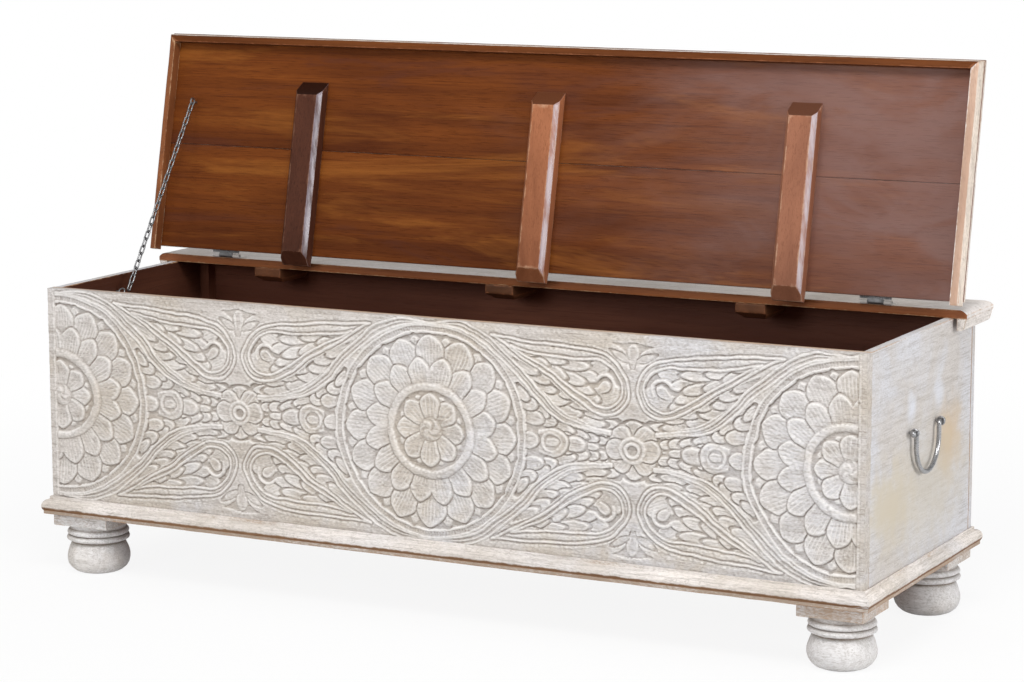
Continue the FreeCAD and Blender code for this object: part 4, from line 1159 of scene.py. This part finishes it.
class CHEST_OT_feet(PieceOperator, bpy.types.Operator):
    """Turns the four bun feet"""
    bl_idname = "chest.feet"
    bl_label = "Turned feet"

    # Half section from the floor up: radius and height in millimetres, and how sunk each point is
    section = [(0, 0, 0), (30, 0, 0), (36, 0.4, 0.2), (43, 3.2, 0), (49, 8.2, 0), (53, 14.5, 0),
               (54.8, 22, 0), (54.9, 29, 0), (53.4, 36, 0), (51, 43, 0), (48.2, 49, 0.1), (46.4, 51.6, 0.5),
               (45.6, 52.6, 1), (45.6, 54.6, 1), (47.6, 55.6, 0.8), (51.4, 56.4, 0.1), (54.2, 58.2, 0),
               (55, 60.6, 0), (54, 63.2, 0), (51, 65.2, 0.5), (49.2, 65.8, 1), (50.6, 66.8, 0.6),
               (53.2, 68.6, 0), (54, 71, 0), (53, 73.6, 0), (50.8, 75.6, 0.4), (49.2, 76.8, 0.9),
               (49, 80, 0.3), (49, 84, 0.2), (49.2, 85, 0.6), (13.9, 85, 0), (13.9, 101.8, 0),
               (0, 101.8, 0)]
    # How light the whitewash of each foot is, in the order of the corners; the left feet lighter and the
    # front right one darker, as painted light and shade
    painted_light_tones = (1.2, 0.94, 1.1, 1.0)

    def turned(self, middle, seed):
        """The section spun round a foot's middle, with a little waver off the lathe."""
        bm = bmesh.new()
        sunk = bm.verts.layers.float.new("groove")
        line = []
        for radius, height, depth in self.section:
            vert = bm.verts.new((middle.x + radius * MM, middle.y, height * MM))
            vert[sunk] = depth
            line.append(vert)
        edges = [bm.edges.new(pair) for pair in zip(line, line[1:])]
        bmesh.ops.subdivide_edges(bm, edges=edges, cuts=1)
        bmesh.ops.spin(bm, geom=bm.verts[:] + bm.edges[:], cent=(middle.x, middle.y, 0), axis=(0, 0, 1),
                       angle=2 * math.pi, steps=72, use_merge=True)
        bmesh.ops.remove_doubles(bm, verts=bm.verts, dist=1e-6)
        bmesh.ops.recalc_face_normals(bm, faces=bm.faces)
        waver = ripple(seed, 0.03)
        places = np.array([v.co for v in bm.verts])
        tenon, sole, swing = 0.02, 0.002, 0.0003
        for v, lift in zip(bm.verts, waver(places)):
            out = Vector((v.co.x - middle.x, v.co.y - middle.y, 0))
            if out.length > tenon and v.co.z > sole:
                v.co += out.normalized() * (lift * swing - swing)
        return bm

    def execute(self, context):
        c = context.scene.chest_finish
        for index, (corner, lightness) in enumerate(zip(CORNERS, self.painted_light_tones)):
            node = corner + "_foot"
            low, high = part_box(node)
            mesh = mesh_of(node + "_turned", self.turned((low + high) / 2, 51 + index))
            store(mesh, "wear", 0.7 * np.exp(-points_of(mesh)[:, 2] / 0.004))
            shade_smooth(mesh, 50)
            material = painted("Whitewashed %s foot" % corner, toned(c.bright, lightness), cover=0.76,
                               streak=0.26, shift=(index * 1.3, 0, 0.4))
            place_mesh(node + "_turned", mesh, "chest", material, node)
        return {"FINISHED"}


class CHEST_OT_fixed_strip(PieceOperator, bpy.types.Operator):
    """Finishes the fixed strip of the top: whitewashed above, bare brown in front and below"""
    bl_idname = "chest.fixed_strip"
    bl_label = "Fixed strip"

    # The strip's bare side, then its rims: node, grain, side with bare wood
    bare_side = Vector((0, -0.96, -0.28))
    rims = (("strip_rear_rim", "x", FRONT), ("strip_left_rim", "y", RIGHT), ("strip_right_rim", "y", LEFT))

    def execute(self, context):
        c = context.scene.chest_finish
        wood = (c.strip_light[:], c.strip_dark[:], c.bare[:])
        material = two_sided("Strip wood", self.bare_side, wood, c.top_white[:], edge=0.25, cover=0.9,
                             shift=(2.1, 0, 0), gloss=0.38, streak=0.2)
        soft_board("top_strip", "chest", material, 0.0010, (0.02, 0.007, 0.005), seed=61)
        for node, grain, under in self.rims:
            material = two_sided("Rail of " + node, under, wood, c.top_white[:], cover=0.84, grain=grain,
                                 shift=(0.8, 0.3, 0), gloss=0.33)
            soft_board(node, "chest", material, 0.0009, (0.02, 0.02, 0.01), seed=63)
        wood = (toned(c.rail_light, 0.6), toned(c.rail_dark, 0.6), c.rail_light[:])
        block = varnished("Strip block wood", wood, "y", (1.0, 0.4, 0), gloss=0.4)
        for side in ("left", "middle", "right"):
            soft_board(side + "_strip_block", "chest", block, 0.0016, (0.006,) * 3, 0.0005,
                       seed=65)
        return {"FINISHED"}


class CHEST_OT_lid(PieceOperator, bpy.types.Operator):
    """Finishes the lid's boards and rim: varnished beneath, whitewashed above"""
    bl_idname = "chest.lid"
    bl_label = "Lid boards and rim"

    # Rims: side, grain, way to the lid's middle, spacing of the loops, rubbed edges, shine
    rims = (("front", "lid", -LID_REACH, (0.02, 0.005, 0.005), "rail_light", 0.08),
            ("left", "z", RIGHT, (0.005, 0.02, 0.005), "bare", 0.2),
            ("right", "z", LEFT, (0.005, 0.02, 0.005), "chalk", 0.2))

    def execute(self, context):
        c = context.scene.chest_finish
        wood = (c.lid_light[:], c.lid_dark[:], c.lid_dark[:])
        for node, seed in (("lid_front_board", 71), ("lid_rear_board", 72)):
            material = two_sided("Lid wood of " + node, LID_UNDER, wood, c.top_white[:], edge=0.35,
                                 grain="lid", shift=(seed, 0.2, 0), gloss=0.42, shine=0.07, with_painted_sheen=True)
            soft_board(node, "lid", material, 0.0004, (0.03, 0.02, 0.01), tilted=True, seed=seed)
        for side, grain, inward, pitch, rubbed, shine in self.rims:
            node = "lid_%s_rim" % side
            wood = wood_of(c, side + "_rim_light", side + "_rim_dark", rubbed)
            material = two_sided("Rail of " + node, LID_UNDER + inward * 0.45, wood, c.warm_white[:],
                                 edge=0.2, cover=0.82, grain=grain, shift=(1.7, 0.6, 0), shine=shine)
            soft_board(node, "lid", material, 0.0010, pitch, tilted=True, seed=75)
        return {"FINISHED"}


class CHEST_OT_battens(PieceOperator, bpy.types.Operator):
    """Finishes the three battens under the lid"""
    bl_idname = "chest.battens"
    bl_label = "Lid battens"

    def execute(self, context):
        c = context.scene.chest_finish
        # Each batten's colours are darker on the left and lighter to the right, as painted shade and light
        for side, seed in (("left", 81), ("middle", 82), ("right", 83)):
            node = side + "_lid_batten"
            wood = wood_of(c, side + "_batten_light", side + "_batten_dark", side + "_batten_rubbed")
            material = varnished("Batten wood " + side, wood, "z", (seed, 0, 0), gloss=0.36, shine=0.1,
                                 bevel_reflection=c.batten_film[:])
            soft_board(node, "lid", material, 0.0009, (0.004, 0.02, 0.004), 0.0003,
                       tilted=True, seed=seed)
        return {"FINISHED"}


class CHEST_OT_ironwork(PieceOperator, bpy.types.Operator):
    """Finishes the hinges, the stay chain, the screw eyes and the bail handles"""
    bl_idname = "chest.ironwork"
    bl_label = "Ironwork"

    def execute(self, context):
        c = context.scene.chest_finish
        screws = steel("Galvanised steel", c.steel[:], 0.34)
        chain = steel("Dull chain steel", toned(c.steel, 0.62), 0.38, 0.6)
        leaf = steel("Grey hinge steel", toned(c.steel, 0.5), 0.5, 0.3)
        handle = steel("Rubbed handle steel", toned(c.steel, 0.85), 0.26, 0.6)
        washed = painted("Whitewashed hinge leaf", toned(c.bright, 1.15), cover=0.9, streak=0.15,
                         bare=c.leaf_bare[:])
        for node in frame["nodes"]:
            if node.endswith("hinge_strip_leaf"):
                dress(node, washed)
            elif node.endswith("hinge_lid_leaf"):
                dress(node, leaf)
            elif node.startswith("chain") or node.endswith("chain_eye"):
                dress(node, chain)
            elif "handle" in node:
                dress(node, handle)
            elif "hinge" in node or node == "plinth_screws":
                dress(node, screws)
        return {"FINISHED"}


class CHEST_OT_stage(PieceOperator, bpy.types.Operator):
    """Sets up the pale floor, the soft light and the camera"""
    bl_idname = "chest.stage"
    bl_label = "Floor, light and camera"

    # Lamps: name, place, aim, width, height and power in watts
    lamps = (("key_lamp", (1.15, -2.1, 3.3), (0.1, 0, 0.35), 1.7, 1.1, 79),
             ("window_lamp", (3.6, -0.5, 1.15), (0, 0, 0.55), 1.25, 1.1, 41),
             ("fill_lamp", (-0.9, -3.4, 1.5), (0.4, 0, 0.6), 1.3, 1.2, 29),
             ("rear_lamp", (-1.4, 3.6, 2.4), (0, 0, 0.4), 1.6, 1.2, 24))
    white = (1, 1, 1)
    floor_tone = (0.8, 0.8, 0.8)

    def add_object(self, name, data):
        holder = bpy.data.objects.new(name, data)
        bpy.context.scene.collection.objects.link(holder)
        return holder

    def lay_floor(self, radius):
        """A floor that fades to white away from the chest and keeps the shadow beneath it."""
        bm = bmesh.new()
        bmesh.ops.create_circle(bm, cap_ends=True, segments=96, radius=radius)
        mesh = mesh_of("floor", bm)
        material = bpy.data.materials.new("Pale floor")
        material.use_nodes = True
        material.node_tree.nodes.clear()
        n = Nodes(material.node_tree)
        pale = n.add("ShaderNodeBsdfDiffuse")
        n.feed(pale.inputs["Color"], self.floor_tone)
        clear = n.add("ShaderNodeEmission")
        n.feed(clear.inputs["Color"], self.white)
        n.feed(clear.inputs["Strength"], 1.0)
        place = n.add("ShaderNodeTexCoord").outputs["Object"]
        share = n.step(n.vector_math("LENGTH", place)["Value"], 0.8, 2.4, 0.90, 1.0)
        path = n.add("ShaderNodeLightPath")
        seen = n.math("MAXIMUM", path.outputs["Is Camera Ray"], path.outputs["Is Glossy Ray"])
        mixer = n.add("ShaderNodeMixShader")
        n.link(n.times(share, seen), mixer.inputs[0])
        n.link(pale.outputs[0], mixer.inputs[1])
        n.link(clear.outputs[0], mixer.inputs[2])
        surface = n.add("ShaderNodeOutputMaterial")
        n.link(mixer.outputs[0], surface.inputs["Surface"])
        mesh.materials.append(material)
        self.add_object("floor", mesh)

    def light_all_round(self, scene, daylight):
        """A white background that lights the chest with the daylight's strength."""
        scene.world = bpy.data.worlds.new("Soft studio")
        scene.world.use_nodes = True
        scene.world.node_tree.nodes.clear()
        n = Nodes(scene.world.node_tree)
        path = n.add("ShaderNodeLightPath")
        seen = n.math("MAXIMUM", path.outputs["Is Camera Ray"], path.outputs["Is Transmission Ray"])
        sky = n.add("ShaderNodeBackground")
        n.feed(sky.inputs["Color"], self.white)
        n.link(n.plus(n.times(seen, 1.0 - daylight), daylight), sky.inputs["Strength"])
        surface = n.add("ShaderNodeOutputWorld")
        n.link(sky.outputs[0], surface.inputs["Surface"])

    def hang_lamps(self):
        for name, place, aim, width, height, power in self.lamps:
            lamp = bpy.data.lights.new(name, "AREA")
            lamp.shape = "RECTANGLE"
            lamp.size, lamp.size_y, lamp.energy = width, height, power
            holder = self.add_object(name, lamp)
            turn = (Vector(aim) - Vector(place)).to_track_quat("-Z", "Y").to_matrix().to_4x4()
            holder.matrix_world = Matrix.Translation(place) @ turn
            holder.visible_camera = False

    def aim_camera(self, scene, sizes):
        camera = bpy.data.cameras.new("camera")
        camera.lens, camera.sensor_width, camera.sensor_fit = sizes.lens, 36.0, "HORIZONTAL"
        camera.clip_start, camera.clip_end = 0.05, 200.0
        az, el, roll = sizes.azimuth, sizes.elevation, sizes.roll
        back = Vector((math.sin(az) * math.cos(el), -math.cos(az) * math.cos(el), math.sin(el)))
        right = Vector((math.cos(az), math.sin(az), 0))
        up = back.cross(right)
        right, up = (right * math.cos(roll) + up * math.sin(roll),
                     up * math.cos(roll) - right * math.sin(roll))
        holder = self.add_object("camera", camera)
        turn = Matrix((right, up, back)).transposed().to_4x4()
        holder.matrix_world = Matrix.Translation(sizes.place) @ turn
        scene.camera = holder

    def execute(self, context):
        scene, sizes = context.scene, context.scene.chest_stage
        self.lay_floor(sizes.floor_radius)
        self.light_all_round(scene, sizes.daylight)
        self.hang_lamps()
        self.aim_camera(scene, sizes)
        scene.view_settings.view_transform = "Standard"
        return {"FINISHED"}


OPERATORS = (CHEST_OT_carved_front, CHEST_OT_outer_boards, CHEST_OT_inside, CHEST_OT_mouldings, CHEST_OT_feet,
             CHEST_OT_fixed_strip, CHEST_OT_lid, CHEST_OT_battens, CHEST_OT_ironwork, CHEST_OT_stage)


class CHEST_PT_pieces(bpy.types.Panel):
    """Lists the pieces of the chest and their sizes"""
    bl_label = "Dowry chest"
    bl_space_type = "VIEW_3D"
    bl_region_type = "UI"
    bl_category = "Chest"

    def draw(self, context):
        for operator in OPERATORS:
            self.layout.operator(operator.bl_idname)
        for group in (context.scene.chest_carving, context.scene.chest_finish, context.scene.chest_stage):
            box = self.layout.box()
            for name in group.__annotations__:
                box.prop(group, name)


GROUPS = (("chest_carving", CarvingSizes), ("chest_finish", FinishColours), ("chest_stage", StageSizes))


def register():
    for name, group in GROUPS:
        bpy.utils.register_class(group)
        setattr(bpy.types.Scene, name, PointerProperty(type=group))
    for operator in OPERATORS:
        bpy.utils.register_class(operator)
    bpy.utils.register_class(CHEST_PT_pieces)


def unregister():
    bpy.utils.unregister_class(CHEST_PT_pieces)
    for operator in reversed(OPERATORS):
        bpy.utils.unregister_class(operator)
    for name, group in reversed(GROUPS):
        delattr(bpy.types.Scene, name)
        bpy.utils.unregister_class(group)


def main():
    register()
    for operator in OPERATORS:
        family, action = operator.bl_idname.split(".")
        getattr(getattr(bpy.ops, family), action)()


if __name__ == "__main__":
    main()
